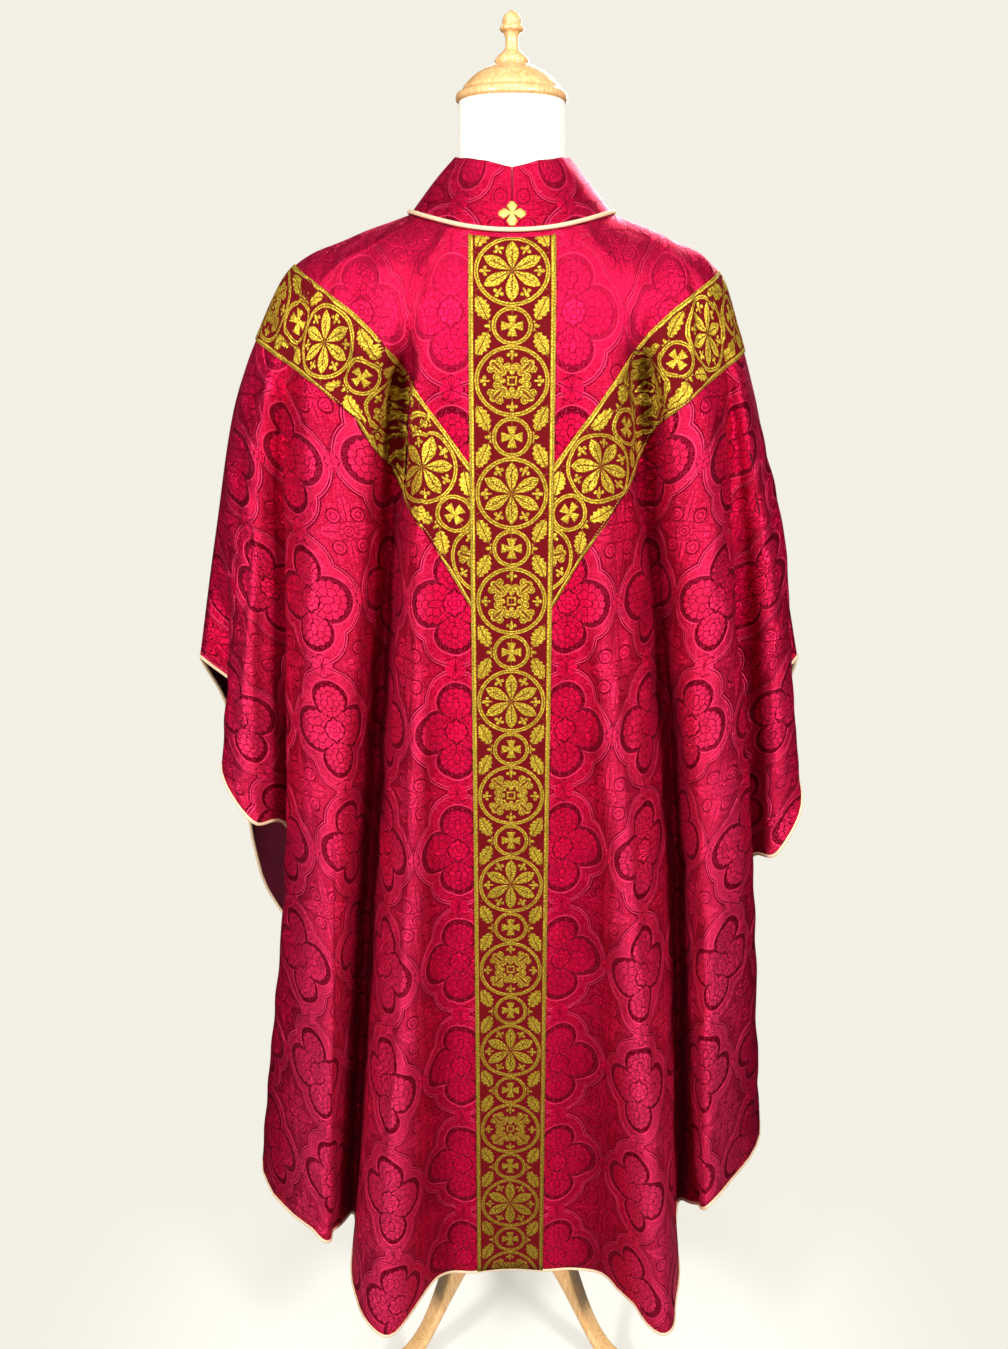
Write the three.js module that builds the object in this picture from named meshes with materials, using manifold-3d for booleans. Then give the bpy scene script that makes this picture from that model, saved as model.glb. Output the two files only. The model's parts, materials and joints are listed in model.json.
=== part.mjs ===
// A gothic chasuble of crimson damask on a limbless dress form. Millimetres, +Z up, the floor at z = 0.
// The wearer's back faces -Y and the wearer's right is +X. The cloth hangs from the form's shoulders.
// Each panel is a sheet of ribs that fan out from the neck seam, and its folds are named in short tables.
import * as THREE from "three";
import { mergeVertices } from "three/addons/utils/BufferGeometryUtils.js";
import Module from "manifold-3d";

const wasm = await Module();
wasm.setup();

// ---- Driving sizes -------------------------------------------------------------------------------
const CLOTH = 1.6; // wall of the damask with its backing
const SEAM_GAP = 0.3; // between two pieces that are sewn together
const HEM_GAP = 0.9; // from the cloth's edge to the hem cord, which turns sharply in the valleys
const GALLOON_WIDTH = 86;
const GALLOON = 1.2; // wall of the woven band
const PIPING = 4.8; // diameter of the corded neck edge and of the bound hem
const CHEST = 1330; // height at which the folds begin
const CENTRE_SHIFT = 9; // the folds hang wider on the wearer's left, so this much centres the whole
const HALF_BAND = GALLOON_WIDTH / 2;

const RIBS_PER_FOLD = 2; // facets between two rows of a fold table
const YOKE_STEPS = 2; // facets between two rings of the yoke
const BODY_STEPS = 9; // facets from the chest to the hem
const CORD_SIDES = 6;

const CRIMSON = { color: 0xb0103a, roughness: 0.45, metalness: 0 };
const GOLD = { color: 0xb08a2c, roughness: 0.4, metalness: 0.5 };
const CREAM = { color: 0xe6c79c, roughness: 0.5, metalness: 0 };
const LINEN = { color: 0xe9e2d2, roughness: 0.85, metalness: 0 };
const WOOD = { color: 0xc58a4e, roughness: 0.45, metalness: 0 };

// ---- The yoke: rings from the neck seam to the arms ------------------------------------------------
// left, right: half widths. side, back, front: heights at the shoulder seam and on the centre lines.
// behind, ahead: depths from the shoulder line to the centre back and the centre front.
const YOKE = [
  {
    name: "neck seam", left: 107, right: 107, side: 1519, back: 1495, front: 1468,
    behind: 107, ahead: 98, power: 2,
  },
  {
    name: "shoulder", left: 172, right: 166, side: 1496, back: 1466, front: 1448,
    behind: 118, ahead: 116, power: 2.1,
  },
  {
    name: "tip", left: 233, right: 218, side: 1467, back: 1438, front: 1424,
    behind: 127, ahead: 132, power: 2.2,
  },
  {
    name: "upper arm", left: 275, right: 248, side: 1400, back: 1390, front: 1384,
    behind: 131, ahead: 141, power: 2.1,
  },
];

// ---- The folds, from the wearer's left shoulder seam to the right one ------------------------------
// x: across, and out: away from the shoulder line, each at the chest, half way down and at the hem.
// hem: height of the edge there.
const BACK_FOLDS = [
  { name: "left seam", x: [-307, -342, -373], out: [0, 0, 0], hem: 1030 },
  { name: "left under fold", x: [-293, -326, -310], out: [34, 30, 14], hem: 972 },
  { name: "left wing edge", x: [-280, -314, -346], out: [50, 50, 42], hem: 905 },
  { name: "left wing crest", x: [-262, -290, -305], out: [70, 76, 80], hem: 850 },
  { name: "left crease", x: [-246, -258, -267], out: [60, 40, 25], hem: 800 },
  { name: "left return", x: [-240, -228, -218], out: [64, 27, 14], hem: 520 },
  { name: "left side edge", x: [-232, -270, -338], out: [78, 66, 35], hem: 322 },
  { name: "left side crest", x: [-200, -210, -243], out: [102, 126, 150], hem: 304 },
  { name: "left side slope", x: [-146, -190, -226], out: [106, 106, 118], hem: 284 },
  { name: "left valley", x: [-118, -172, -213], out: [82, 42, 54], hem: 246 },
  { name: "left lobe edge", x: [-100, -148, -202], out: [112, 106, 150], hem: 212 },
  { name: "left lobe crest", x: [-88, -116, -152], out: [125, 150, 205], hem: 202 },
  { name: "left lobe slope", x: [-66, -78, -98], out: [128, 116, 124], hem: 207 },
  { name: "left of pillar", x: [-43, -43, -43], out: [132, 114, 119], hem: 215 },
  { name: "centre back", x: [0, 0, 0], out: [133, 111, 116], hem: 216 },
  { name: "right of pillar", x: [43, 43, 43], out: [132, 114, 119], hem: 217 },
  { name: "right lobe slope", x: [62, 88, 122], out: [128, 106, 116], hem: 207 },
  { name: "right lobe crest", x: [80, 133, 188], out: [126, 150, 205], hem: 206 },
  { name: "right lobe edge", x: [112, 174, 216], out: [108, 104, 155], hem: 216 },
  { name: "right valley", x: [136, 203, 227], out: [82, 40, 54], hem: 262 },
  { name: "right side slope", x: [162, 212, 240], out: [104, 100, 110], hem: 318 },
  { name: "right side crest", x: [196, 231, 254], out: [102, 126, 145], hem: 354 },
  { name: "right side edge", x: [218, 286, 338], out: [80, 64, 32], hem: 380 },
  { name: "right return", x: [228, 244, 232], out: [66, 27, 14], hem: 560 },
  { name: "right crease", x: [236, 277, 291], out: [54, 36, 24], hem: 762 },
  { name: "right wing crest", x: [247, 296, 323], out: [58, 66, 62], hem: 800 },
  { name: "right wing edge", x: [258, 312, 353], out: [42, 44, 36], hem: 862 },
  { name: "right under fold", x: [266, 316, 320], out: [24, 24, 12], hem: 985 },
  { name: "right seam", x: [273, 309, 344], out: [0, 0, 0], hem: 1030 },
];
const FRONT_FOLDS = [
  { name: "left seam", x: [-307, -342, -373], out: [0, 0, 0], hem: 1030 },
  { name: "left front wing", x: [-288, -326, -352], out: [44, 50, 50], hem: 925 },
  { name: "left front edge", x: [-266, -306, -334], out: [72, 82, 70], hem: 700 },
  { name: "left front crease", x: [-242, -252, -258], out: [86, 50, 36], hem: 560 },
  { name: "left front side", x: [-222, -256, -300], out: [98, 84, 70], hem: 350 },
  { name: "left front crest", x: [-184, -206, -236], out: [118, 138, 158], hem: 286 },
  { name: "left front valley", x: [-132, -152, -178], out: [112, 76, 84], hem: 250 },
  { name: "left front lobe", x: [-94, -112, -138], out: [138, 164, 206], hem: 222 },
  { name: "left front slope", x: [-66, -70, -84], out: [143, 134, 152], hem: 226 },
  { name: "left of front pillar", x: [-43, -43, -43], out: [145, 129, 136], hem: 228 },
  { name: "centre front", x: [0, 0, 0], out: [146, 127, 134], hem: 229 },
  { name: "right of front pillar", x: [43, 43, 43], out: [145, 129, 136], hem: 228 },
  { name: "right front slope", x: [66, 76, 98], out: [143, 132, 148], hem: 226 },
  { name: "right front lobe", x: [98, 126, 160], out: [137, 160, 207], hem: 222 },
  { name: "right front valley", x: [136, 172, 192], out: [108, 72, 82], hem: 254 },
  { name: "right front crest", x: [176, 216, 246], out: [116, 134, 154], hem: 300 },
  { name: "right front side", x: [206, 264, 308], out: [97, 78, 62], hem: 384 },
  { name: "right front crease", x: [224, 262, 276], out: [78, 48, 34], hem: 600 },
  { name: "right front edge", x: [242, 292, 320], out: [62, 72, 62], hem: 770 },
  { name: "right front wing", x: [260, 308, 338], out: [38, 46, 44], hem: 930 },
  { name: "right seam", x: [273, 309, 344], out: [0, 0, 0], hem: 1030 },
];

// ---- Galloon arms: the two edges of each band, seen square to the panel ----------------------------
// x: across from the pillar to past the shoulder seam. upper, lower: heights of the band's edges there.
const ARM_EDGES = [
  { x: 43, upper: 1272, lower: 1120 },
  { x: 90, upper: 1335, lower: 1200 },
  { x: 120, upper: 1379, lower: 1240 },
  { x: 140, upper: 1403, lower: 1276 },
  { x: 160, upper: 1421, lower: 1315 },
  { x: 200, upper: 1449, lower: 1348 },
  { x: 235, upper: 1472, lower: 1370 },
  { x: 310, upper: 1504, lower: 1412 },
];
const PILLAR_TOP = 0.22; // the pillar starts this share of the way to the next ring, clear of the neck cord

// ---- The collar: rings from the neck seam to its top edge -------------------------------------------
const COLLAR = [
  {
    name: "seam", left: 107, right: 107, side: 1519.8, back: 1495.8, front: 1468.8,
    behind: 107, ahead: 98, power: 2,
  },
  {
    name: "waist", left: 82, right: 82, side: 1551, back: 1525, front: 1505,
    behind: 91, ahead: 84, power: 2,
  },
  {
    name: "top", left: 61, right: 61, side: 1573, back: 1562, front: 1543,
    behind: 74, ahead: 71, power: 2,
  },
];
const COLLAR_COLUMNS = 18; // facets round each half
const COLLAR_ROWS = 4;
const NOTCH = { depth: 5, half: 26 }; // the dip at the top of the centre-back seam
const CROSS = { reach: 14, thick: 1.4, share: 0.32 }; // share: how far up the collar its centre lies
const CROSS_ARM = [
  { along: 0.42, half: 0.16 },
  { along: 0.6, half: 0.46 },
  { along: 0.8, half: 0.38 },
  { along: 0.84, half: 0.22 },
  { along: 1, half: 0.16 },
];

// ---- The form and its stand ------------------------------------------------------------------------
// half: half width. behind, ahead: half depths. From the hips up to the top of the neck.
const FORM = [
  { z: 862, half: 138, behind: 92, ahead: 96 },
  { z: 880, half: 150, behind: 100, ahead: 104 },
  { z: 960, half: 152, behind: 98, ahead: 106 },
  { z: 1080, half: 128, behind: 82, ahead: 92 },
  { z: 1200, half: 152, behind: 80, ahead: 108 },
  { z: 1310, half: 172, behind: 70, ahead: 118 },
  { z: 1390, half: 188, behind: 78, ahead: 112 },
  { z: 1430, half: 203, behind: 92, ahead: 102 },
  { z: 1455, half: 205, behind: 94, ahead: 88 },
  { z: 1474, half: 198, behind: 86, ahead: 76 },
  { z: 1490, half: 172, behind: 78, ahead: 66 },
  { z: 1504, half: 137, behind: 74, ahead: 59 },
  { z: 1518, half: 96, behind: 65, ahead: 59 },
  { z: 1534, half: 66, behind: 60, ahead: 57 },
  { z: 1560, half: 56, behind: 57, ahead: 55 },
  { z: 1626, half: 55, behind: 56, ahead: 54 },
];
const FORM_POWER = 2.2;
const FORM_FACETS = 40;
const CAP_TURNING = [
  { r: 56, z: 1626.3 },
  { r: 58, z: 1629 },
  { r: 57, z: 1634 },
  { r: 52, z: 1637 },
  { r: 49, z: 1642 },
  { r: 38, z: 1652 },
  { r: 25, z: 1659 },
  { r: 18, z: 1662 },
];
const FINIAL_TURNING = [
  { r: 17, z: 1662.3 },
  { r: 17.5, z: 1666 },
  { r: 13, z: 1671 },
  { r: 7.5, z: 1676 },
  { r: 6.5, z: 1684 },
  { r: 8, z: 1690 },
  { r: 12, z: 1693 },
  { r: 12, z: 1696 },
  { r: 9.5, z: 1698 },
  { r: 10, z: 1702 },
  { r: 7.5, z: 1707 },
  { r: 3, z: 1710.5 },
];
const TURNED_FACETS = 28;
const POLE_RADIUS = 17;
const HUB = { radius: 34, bottom: 150, top: 250 };
const LEG = { reach: 212, foot: 30, toe: 14, thick: 26, top: 236, bottom: 166 };
const LEG_TURNS = { front: 90, back_left: 210, back_right: 330 };

// ---- Small helpers ---------------------------------------------------------------------------------
const mix = (a, b, t) => a + (b - a) * t;
const list = (count, make) => Array.from({ length: count }, (_, k) => make(k));

// The value of a Catmull-Rom curve through evenly spaced values, at position u.
function through(values, u) {
  const i = Math.min(Math.floor(u), values.length - 2);
  const t = u - i;
  const b = values[i];
  const c = values[i + 1];
  const a = i > 0 ? values[i - 1] : 2 * b - c;
  const d = i + 2 < values.length ? values[i + 2] : 2 * c - b;
  return b + 0.5 * t * (c - a + t * (2 * a - 5 * b + 4 * c - d + t * (3 * (b - c) + d - a)));
}

// ---- Sheets of points --------------------------------------------------------------------------------
// A place on a ring of the yoke or the collar, across from the centre line. face is -1 behind and 1 ahead.
function onRing(ring, across, side, face) {
  const half = side < 0 ? ring.left : ring.right;
  const share = Math.min(1, across / half);
  const depth = face < 0 ? ring.behind : ring.ahead;
  const centre = face < 0 ? ring.back : ring.front;
  const out = depth * Math.pow(1 - Math.pow(share, ring.power), 1 / ring.power);
  return new THREE.Vector3(side * across, face * out, mix(centre, ring.side, share * share));
}

// A rib crosses each ring of the yoke: it runs straight within the pillar, and the others fan out.
function ribOnRing(ring, x, seamX, face) {
  const half = x < 0 ? ring.left : ring.right;
  const spread = (Math.abs(x) - HALF_BAND) / (Math.abs(seamX) - HALF_BAND);
  const across = spread < 0 ? Math.abs(x) : mix(HALF_BAND, half, spread);
  return onRing(ring, across, x < 0 ? -1 : 1, face);
}

// The rib at position u of a fold table, as a curve from the neck seam to the hem.
function rib(folds, face, u) {
  const pick = (read) => through(folds.map(read), u);
  const x = list(3, (k) => pick((row) => row.x[k]));
  const out = list(3, (k) => pick((row) => row.out[k]));
  const hem = pick((row) => row.hem);
  const seamX = x[0] < 0 ? folds[0].x[0] : folds.at(-1).x[0];
  const knots = YOKE.map((ring) => ribOnRing(ring, x[0], seamX, face));
  [CHEST, mix(CHEST, hem, 0.5), hem].forEach((z, k) => {
    knots.push(new THREE.Vector3(x[k], face * out[k], z));
  });
  knots.forEach((knot) => (knot.y += (face * SEAM_GAP) / 2));
  return new THREE.CatmullRomCurve3(knots, false, "centripetal");
}

// Stations along a rib, as shares of its curve, whose knots are evenly spread over that share.
function stations() {
  const spans = YOKE.length + 2;
  const yoke = list(YOKE.length * YOKE_STEPS, (k) => (k === 1 ? PILLAR_TOP : k / YOKE_STEPS) / spans);
  const body = list(BODY_STEPS + 1, (k) => mix(YOKE.length, spans, k / BODY_STEPS) / spans);
  return [...yoke, ...body];
}

// The sheet of a panel: points[i][j] is rib i at station j, and normals[i][j] points out of the garment.
function panelSheet(folds, face) {
  const columns = (folds.length - 1) * RIBS_PER_FOLD;
  const levels = stations();
  const points = list(columns + 1, (i) => {
    const curve = rib(folds, face, i / RIBS_PER_FOLD);
    return levels.map((t) => curve.getPoint(t));
  });
  const normals = points.map((column) => column.map(() => new THREE.Vector3()));
  const facet = (...corners) => {
    const [a, b, c] = corners.map(([i, j]) => points[i][j]);
    const out = b.clone().sub(a).cross(c.clone().sub(a)).multiplyScalar(face).normalize();
    corners.forEach(([i, j]) => normals[i][j].add(out));
  };
  for (let i = 0; i < columns; i++) {
    for (let j = 0; j < levels.length - 1; j++) {
      facet([i, j], [i + 1, j], [i + 1, j + 1]);
      facet([i, j], [i + 1, j + 1], [i, j + 1]);
    }
  }
  // At a shoulder seam the two panels lie edge to edge, so neither leans towards the other.
  normals[0].forEach((normal) => normal.setY(0));
  normals[columns].forEach((normal) => normal.setY(0));
  normals.flat().forEach((normal) => normal.normalize());
  return { points, normals };
}

// A point of one half of the collar: turn goes from the centre back to the centre front, v from seam to top.
function collarPoint(side, turn, v) {
  const face = turn < Math.PI / 2 ? -1 : 1;
  const knots = COLLAR.map((ring) => onRing(ring, ring.left * Math.sin(turn), side, face));
  const along = (axis) => through(knots.map((knot) => knot[axis]), v * (knots.length - 1));
  const [x, y, z] = ["x", "y", "z"].map(along);
  const dip = v * NOTCH.depth * Math.max(0, 1 - Math.abs(x) / NOTCH.half);
  return new THREE.Vector3(x + (side * SEAM_GAP) / 2, y, z - dip);
}

function collarNormal(side, turn, v) {
  const step = 1e-3;
  const round = collarPoint(side, turn + step, v).sub(collarPoint(side, turn - step, v));
  const [below, above] = [Math.max(0, v - step), Math.min(1, v + step)];
  const up = collarPoint(side, turn, above).sub(collarPoint(side, turn, below));
  const normal = round.cross(up).multiplyScalar(side);
  if (turn === 0 || turn === Math.PI) normal.x = 0; // the ends of two halves meet face to face
  return normal.normalize();
}

function collarSheet(side) {
  const turns = list(COLLAR_COLUMNS + 1, (k) => (Math.PI * k) / COLLAR_COLUMNS);
  const rows = list(COLLAR_ROWS + 1, (k) => k / COLLAR_ROWS);
  return {
    points: turns.map((turn) => rows.map((v) => collarPoint(side, turn, v))),
    normals: turns.map((turn) => rows.map((v) => collarNormal(side, turn, v))),
  };
}

// ---- Solids ------------------------------------------------------------------------------------------
// A geometry from points and triangles, turned so that its faces point out.
function solid(points, faces) {
  let volume = 0;
  for (const [a, b, c] of faces) volume += points[a].dot(points[b].clone().cross(points[c]));
  const geometry = new THREE.BufferGeometry();
  geometry.setAttribute("position", new THREE.Float32BufferAttribute(points.flatMap((p) => p.toArray()), 3));
  geometry.setIndex(faces.flatMap(([a, b, c]) => (volume < 0 ? [a, c, b] : [a, b, c])));
  return geometry;
}

const quad = (a, b, c, d) => [
  [a, b, c],
  [a, c, d],
];

// The closed wall between two distances out from a sheet, over a range of its columns.
function wall({ points, normals }, near, far, first = 0, last = points.length - 1) {
  const rows = points[0].length;
  const spans = last - first;
  const moved = (i, j, distance) => points[i][j].clone().addScaledVector(normals[i][j], distance);
  const layer = (distance) =>
    list((spans + 1) * rows, (n) => moved(first + Math.floor(n / rows), n % rows, distance));
  const inner = (i, j) => i * rows + j;
  const outer = (i, j) => (spans + 1 + i) * rows + j;
  const end = rows - 1;
  const faces = [];
  for (let i = 0; i < spans; i++) {
    for (let j = 0; j < end; j++) {
      faces.push(...quad(inner(i, j), inner(i, j + 1), inner(i + 1, j + 1), inner(i + 1, j)));
      faces.push(...quad(outer(i, j), outer(i + 1, j), outer(i + 1, j + 1), outer(i, j + 1)));
    }
    faces.push(...quad(inner(i, 0), inner(i + 1, 0), outer(i + 1, 0), outer(i, 0)));
    faces.push(...quad(inner(i, end), outer(i, end), outer(i + 1, end), inner(i + 1, end)));
  }
  for (let j = 0; j < end; j++) {
    faces.push(...quad(inner(0, j), outer(0, j), outer(0, j + 1), inner(0, j + 1)));
    faces.push(...quad(inner(spans, j), inner(spans, j + 1), outer(spans, j + 1), outer(spans, j)));
  }
  return solid([...layer(near), ...layer(far)], faces);
}

// A solid through rings of points, either closed on itself or with a flat face at each end.
function loft(rings, closed) {
  const count = rings[0].length;
  const at = (r, k) => (r % rings.length) * count + (k % count);
  const faces = [];
  const spans = closed ? rings.length : rings.length - 1;
  for (let r = 0; r < spans; r++) {
    for (let k = 0; k < count; k++) {
      faces.push(...quad(at(r, k), at(r, k + 1), at(r + 1, k + 1), at(r + 1, k)));
    }
  }
  for (let k = 1; k < count - 1 && !closed; k++) {
    faces.push([at(0, 0), at(0, k + 1), at(0, k)]);
    faces.push([at(spans, 0), at(spans, k), at(spans, k + 1)]);
  }
  return solid(rings.flat(), faces);
}

// A closed loop of cord, round in the plane of the directions a and b at each stop.
function cordLoop(stops) {
  const section = ({ centre, a, b }) =>
    list(CORD_SIDES, (k) => {
      const turn = (2 * Math.PI * (k + 0.5)) / CORD_SIDES;
      const out = a.clone().multiplyScalar(Math.cos(turn)).addScaledVector(b, Math.sin(turn));
      return centre.clone().addScaledVector(out, PIPING / 2);
    });
  return loft(stops.map(section), true);
}

function turned(profile) {
  const outline = [{ r: 0, z: profile[0].z }, ...profile, { r: 0, z: profile.at(-1).z }];
  const points = outline.map(({ r, z }) => new THREE.Vector2(r, z));
  return new THREE.LatheGeometry(points, TURNED_FACETS).rotateX(Math.PI / 2);
}

// A closed geometry as a manifold-3d solid, and back.
function toManifold(geometry) {
  const bare = geometry.clone();
  bare.deleteAttribute("normal");
  bare.deleteAttribute("uv");
  const merged = mergeVertices(bare, 1e-3);
  const triVerts = new Uint32Array(merged.index.array);
  const vertProperties = merged.attributes.position.array;
  return new wasm.Manifold(new wasm.Mesh({ numProp: 3, vertProperties, triVerts }));
}

function fromManifold(made) {
  const { vertProperties, triVerts } = made.getMesh();
  const geometry = new THREE.BufferGeometry();
  geometry.setAttribute("position", new THREE.Float32BufferAttribute(vertProperties, 3));
  geometry.setIndex([...triVerts]);
  return geometry;
}

// ---- Shapes of the pieces ------------------------------------------------------------------------------
// The pillar of galloon lies on the panel's own columns between the two rows that name its edges.
function pillar({ points, normals }, folds) {
  const column = (x) => folds.findIndex((row) => row.x[0] === x) * RIBS_PER_FOLD;
  const clear = (columns) => columns.map((rows) => rows.slice(1));
  const sheet = { points: clear(points), normals: clear(normals) };
  return wall(sheet, SEAM_GAP, SEAM_GAP + GALLOON, column(-HALF_BAND), column(HALF_BAND));
}

// An arm of galloon is a layer over the panel, cut to the band's two edges.
function arm(sheet, face, side) {
  const layer = toManifold(wall(sheet, SEAM_GAP, SEAM_GAP + GALLOON));
  const start = { ...ARM_EDGES[0], x: HALF_BAND + SEAM_GAP };
  const rows = [start, ...ARM_EDGES.slice(1)];
  const lower = rows.map((row) => new THREE.Vector2(side * row.x, row.lower));
  const upper = rows.map((row) => new THREE.Vector2(side * row.x, row.upper)).reverse();
  const depth = 2 * YOKE[0].behind;
  const band = new THREE.Shape([...lower, ...upper]);
  const cutter = new THREE.ExtrudeGeometry(band, { depth, bevelEnabled: false });
  cutter.rotateX(Math.PI / 2);
  if (face > 0) cutter.translate(0, depth, 0);
  return fromManifold(layer.intersect(toManifold(cutter)));
}

// The edge of both panels at one end of their ribs, as one loop. Each shoulder seam counts once.
// beyond: away from the cloth in its own plane. corner: how much further a parallel line passes at a corner.
function edgeLoop(back, front, row) {
  const stops = ({ points, normals }) =>
    points.map((column, i) => ({ point: column.at(row), normal: normals[i].at(row) }));
  const spans = ({ points }) =>
    list(points.length - 1, (i) => {
      const along = points[i + 1].at(row).clone().sub(points[i].at(row)).normalize();
      const inside = row === 0 ? points[i + 1][1] : points[i].at(-2);
      const out = points[i].at(row).clone().sub(inside);
      return out.addScaledVector(along, -out.dot(along)).normalize();
    });
  const loop = [...stops(back), ...stops(front).slice(1, -1).reverse()];
  const aways = [...spans(back), ...spans(front).reverse()];
  return loop.map(({ point, normal }, i) => {
    const before = point.clone().sub(loop.at(i - 1).point).normalize();
    const after = loop[(i + 1) % loop.length].point.clone().sub(point).normalize();
    const round = before.add(after).normalize();
    const beyond = aways.at(i - 1).clone().add(aways[i]).normalize();
    return { point, normal, round, beyond, corner: 1 / Math.max(0.4, beyond.dot(aways[i])) };
  });
}

// The bound hem is a cord just below the edge of the cloth.
function hemBinding(back, front) {
  const stops = edgeLoop(back, front, -1).map(({ point, normal, round, beyond, corner }) => {
    const reach = corner * (PIPING / 2 + HEM_GAP);
    const centre = point.clone().addScaledVector(normal, -CLOTH / 2).addScaledVector(beyond, reach);
    return { centre, a: beyond.clone().cross(round).normalize(), b: beyond };
  });
  return cordLoop(stops);
}

// The neck cord lies in the angle between the panels and the collar, as far from one as from the other.
function neckPiping(back, front) {
  const stops = edgeLoop(back, front, 0).map(({ point, normal, round }, i) => {
    const face = i < back.points.length ? -1 : 1;
    const share = Math.min(1, Math.abs(point.x) / COLLAR[0].left);
    const [low, high] = COLLAR.map((ring) => onRing(ring, share * ring.left, Math.sign(point.x) || 1, face));
    const collarOut = round.clone().cross(high.sub(low)).normalize();
    if (collarOut.dot(normal) < 0) collarOut.negate();
    const a = collarOut.add(normal).normalize();
    const reach = (PIPING / 2 + 3.6 * SEAM_GAP) / a.dot(normal);
    return { centre: point.clone().addScaledVector(a, reach), a, b: a.clone().cross(round).normalize() };
  });
  return cordLoop(stops);
}

// A small cross with flared, three-lobed arms.
function crossPlate() {
  const waist = CROSS_ARM[0].half;
  const side = CROSS_ARM.map(({ along, half }) => [along, half]);
  const arm = [[waist, -waist], ...side.map(([x, y]) => [x, -y]), ...side.reverse()];
  const outline = list(4, (k) => {
    const turn = (k * Math.PI) / 2;
    const centre = new THREE.Vector2();
    const corner = ([x, y]) => new THREE.Vector2(x, y).multiplyScalar(CROSS.reach);
    return arm.map((place) => corner(place).rotateAround(centre, turn));
  });
  const shape = new THREE.Shape(outline.flat());
  return new THREE.ExtrudeGeometry(shape, { depth: CROSS.thick, bevelEnabled: false });
}

function formTorso() {
  const ring = ({ z, half, behind, ahead }) =>
    list(FORM_FACETS, (k) => {
      const turn = (2 * Math.PI * k) / FORM_FACETS;
      const round = (value) => Math.sign(value) * Math.pow(Math.abs(value), 2 / FORM_POWER);
      const depth = Math.sin(turn) < 0 ? behind : ahead;
      return new THREE.Vector3(half * round(Math.cos(turn)), depth * round(Math.sin(turn)), z);
    });
  return loft(FORM.map(ring), false);
}

function leg() {
  const start = HUB.radius + SEAM_GAP;
  const heel = LEG.reach - LEG.foot;
  const shape = new THREE.Shape();
  shape.moveTo(start, LEG.top);
  shape.bezierCurveTo(0.5 * LEG.reach, LEG.top, 0.5 * LEG.reach, 2.6 * LEG.toe, heel, 1.8 * LEG.toe);
  shape.lineTo(LEG.reach, LEG.toe);
  shape.lineTo(LEG.reach, 0);
  shape.lineTo(heel, 0);
  shape.bezierCurveTo(0.62 * LEG.reach, LEG.toe, 0.4 * LEG.reach, LEG.bottom, start, LEG.bottom);
  const options = { depth: LEG.thick, bevelEnabled: false, curveSegments: 10 };
  const geometry = new THREE.ExtrudeGeometry(shape, options);
  return geometry.rotateX(Math.PI / 2).translate(0, LEG.thick / 2, 0);
}

const post = (radius, bottom, top) => {
  const height = top - bottom;
  const geometry = new THREE.CylinderGeometry(radius, radius, height, TURNED_FACETS);
  return geometry.rotateX(Math.PI / 2).translate(0, 0, bottom + height / 2);
};

// ---- The scene graph -------------------------------------------------------------------------------------
const root = new THREE.Group();
root.position.x = CENTRE_SHIFT;
const chasuble = new THREE.Group();
const stand = new THREE.Group();
root.add(chasuble, stand);

function add(group, name, geometry, look) {
  const mesh = new THREE.Mesh(geometry, new THREE.MeshStandardMaterial(look));
  mesh.name = name;
  group.add(mesh);
  return mesh;
}

const backSheet = panelSheet(BACK_FOLDS, -1);
const frontSheet = panelSheet(FRONT_FOLDS, 1);
add(chasuble, "back_panel", wall(backSheet, -CLOTH, 0), CRIMSON);
add(chasuble, "front_panel", wall(frontSheet, -CLOTH, 0), CRIMSON);
add(chasuble, "back_pillar", pillar(backSheet, BACK_FOLDS), GOLD);
add(chasuble, "front_pillar", pillar(frontSheet, FRONT_FOLDS), GOLD);
for (const [hand, side] of [["left", -1], ["right", 1]]) {
  add(chasuble, `back_arm_${hand}`, arm(backSheet, -1, side), GOLD);
  add(chasuble, `front_arm_${hand}`, arm(frontSheet, 1, side), GOLD);
  add(chasuble, `collar_${hand}`, wall(collarSheet(side), -CLOTH, 0), CRIMSON);
}
add(chasuble, "neck_piping", neckPiping(backSheet, frontSheet), CREAM);
add(chasuble, "hem_binding", hemBinding(backSheet, frontSheet), CREAM);

const cross = add(chasuble, "collar_cross", crossPlate(), GOLD);
const crossOut = collarNormal(1, 0, CROSS.share);
cross.position.copy(collarPoint(1, 0, CROSS.share)).setX(0).addScaledVector(crossOut, 2 * SEAM_GAP);
cross.quaternion.setFromUnitVectors(new THREE.Vector3(0, 0, 1), crossOut);

add(stand, "form_torso", formTorso(), LINEN);
add(stand, "neck_cap", turned(CAP_TURNING), WOOD);
add(stand, "finial", turned(FINIAL_TURNING), WOOD);
add(stand, "pole", post(POLE_RADIUS, HUB.top + SEAM_GAP, FORM[0].z - SEAM_GAP), WOOD);
add(stand, "hub", post(HUB.radius, HUB.bottom, HUB.top), WOOD);
for (const [place, degrees] of Object.entries(LEG_TURNS)) {
  add(stand, `leg_${place}`, leg(), WOOD).rotation.z = THREE.MathUtils.degToRad(degrees);
}

export default root;
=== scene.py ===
# %% [markdown]
# # A gothic chasuble on a dress form
#
# A gothic chasuble is a wide oval of cloth with a hole for the head. It has no sleeves: it hangs from
# the shoulders, falls over the arms and breaks into a few deep folds. This one is woven in crimson
# damask, carries a gold galloon in the shape of a Y, and has a stand-up collar. It hangs on a limbless
# form with a turned wooden stand.
#
# The lesson builds it the way a maker would. First come the light and the camera, then the cut and its
# folds, then the woven patterns as maths on the cloth's own coordinates, then the bands, cords and
# stitches, and last the form.

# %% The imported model
import json
import math

import bmesh
import bpy
import numpy as np
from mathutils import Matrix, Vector, kdtree

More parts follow.
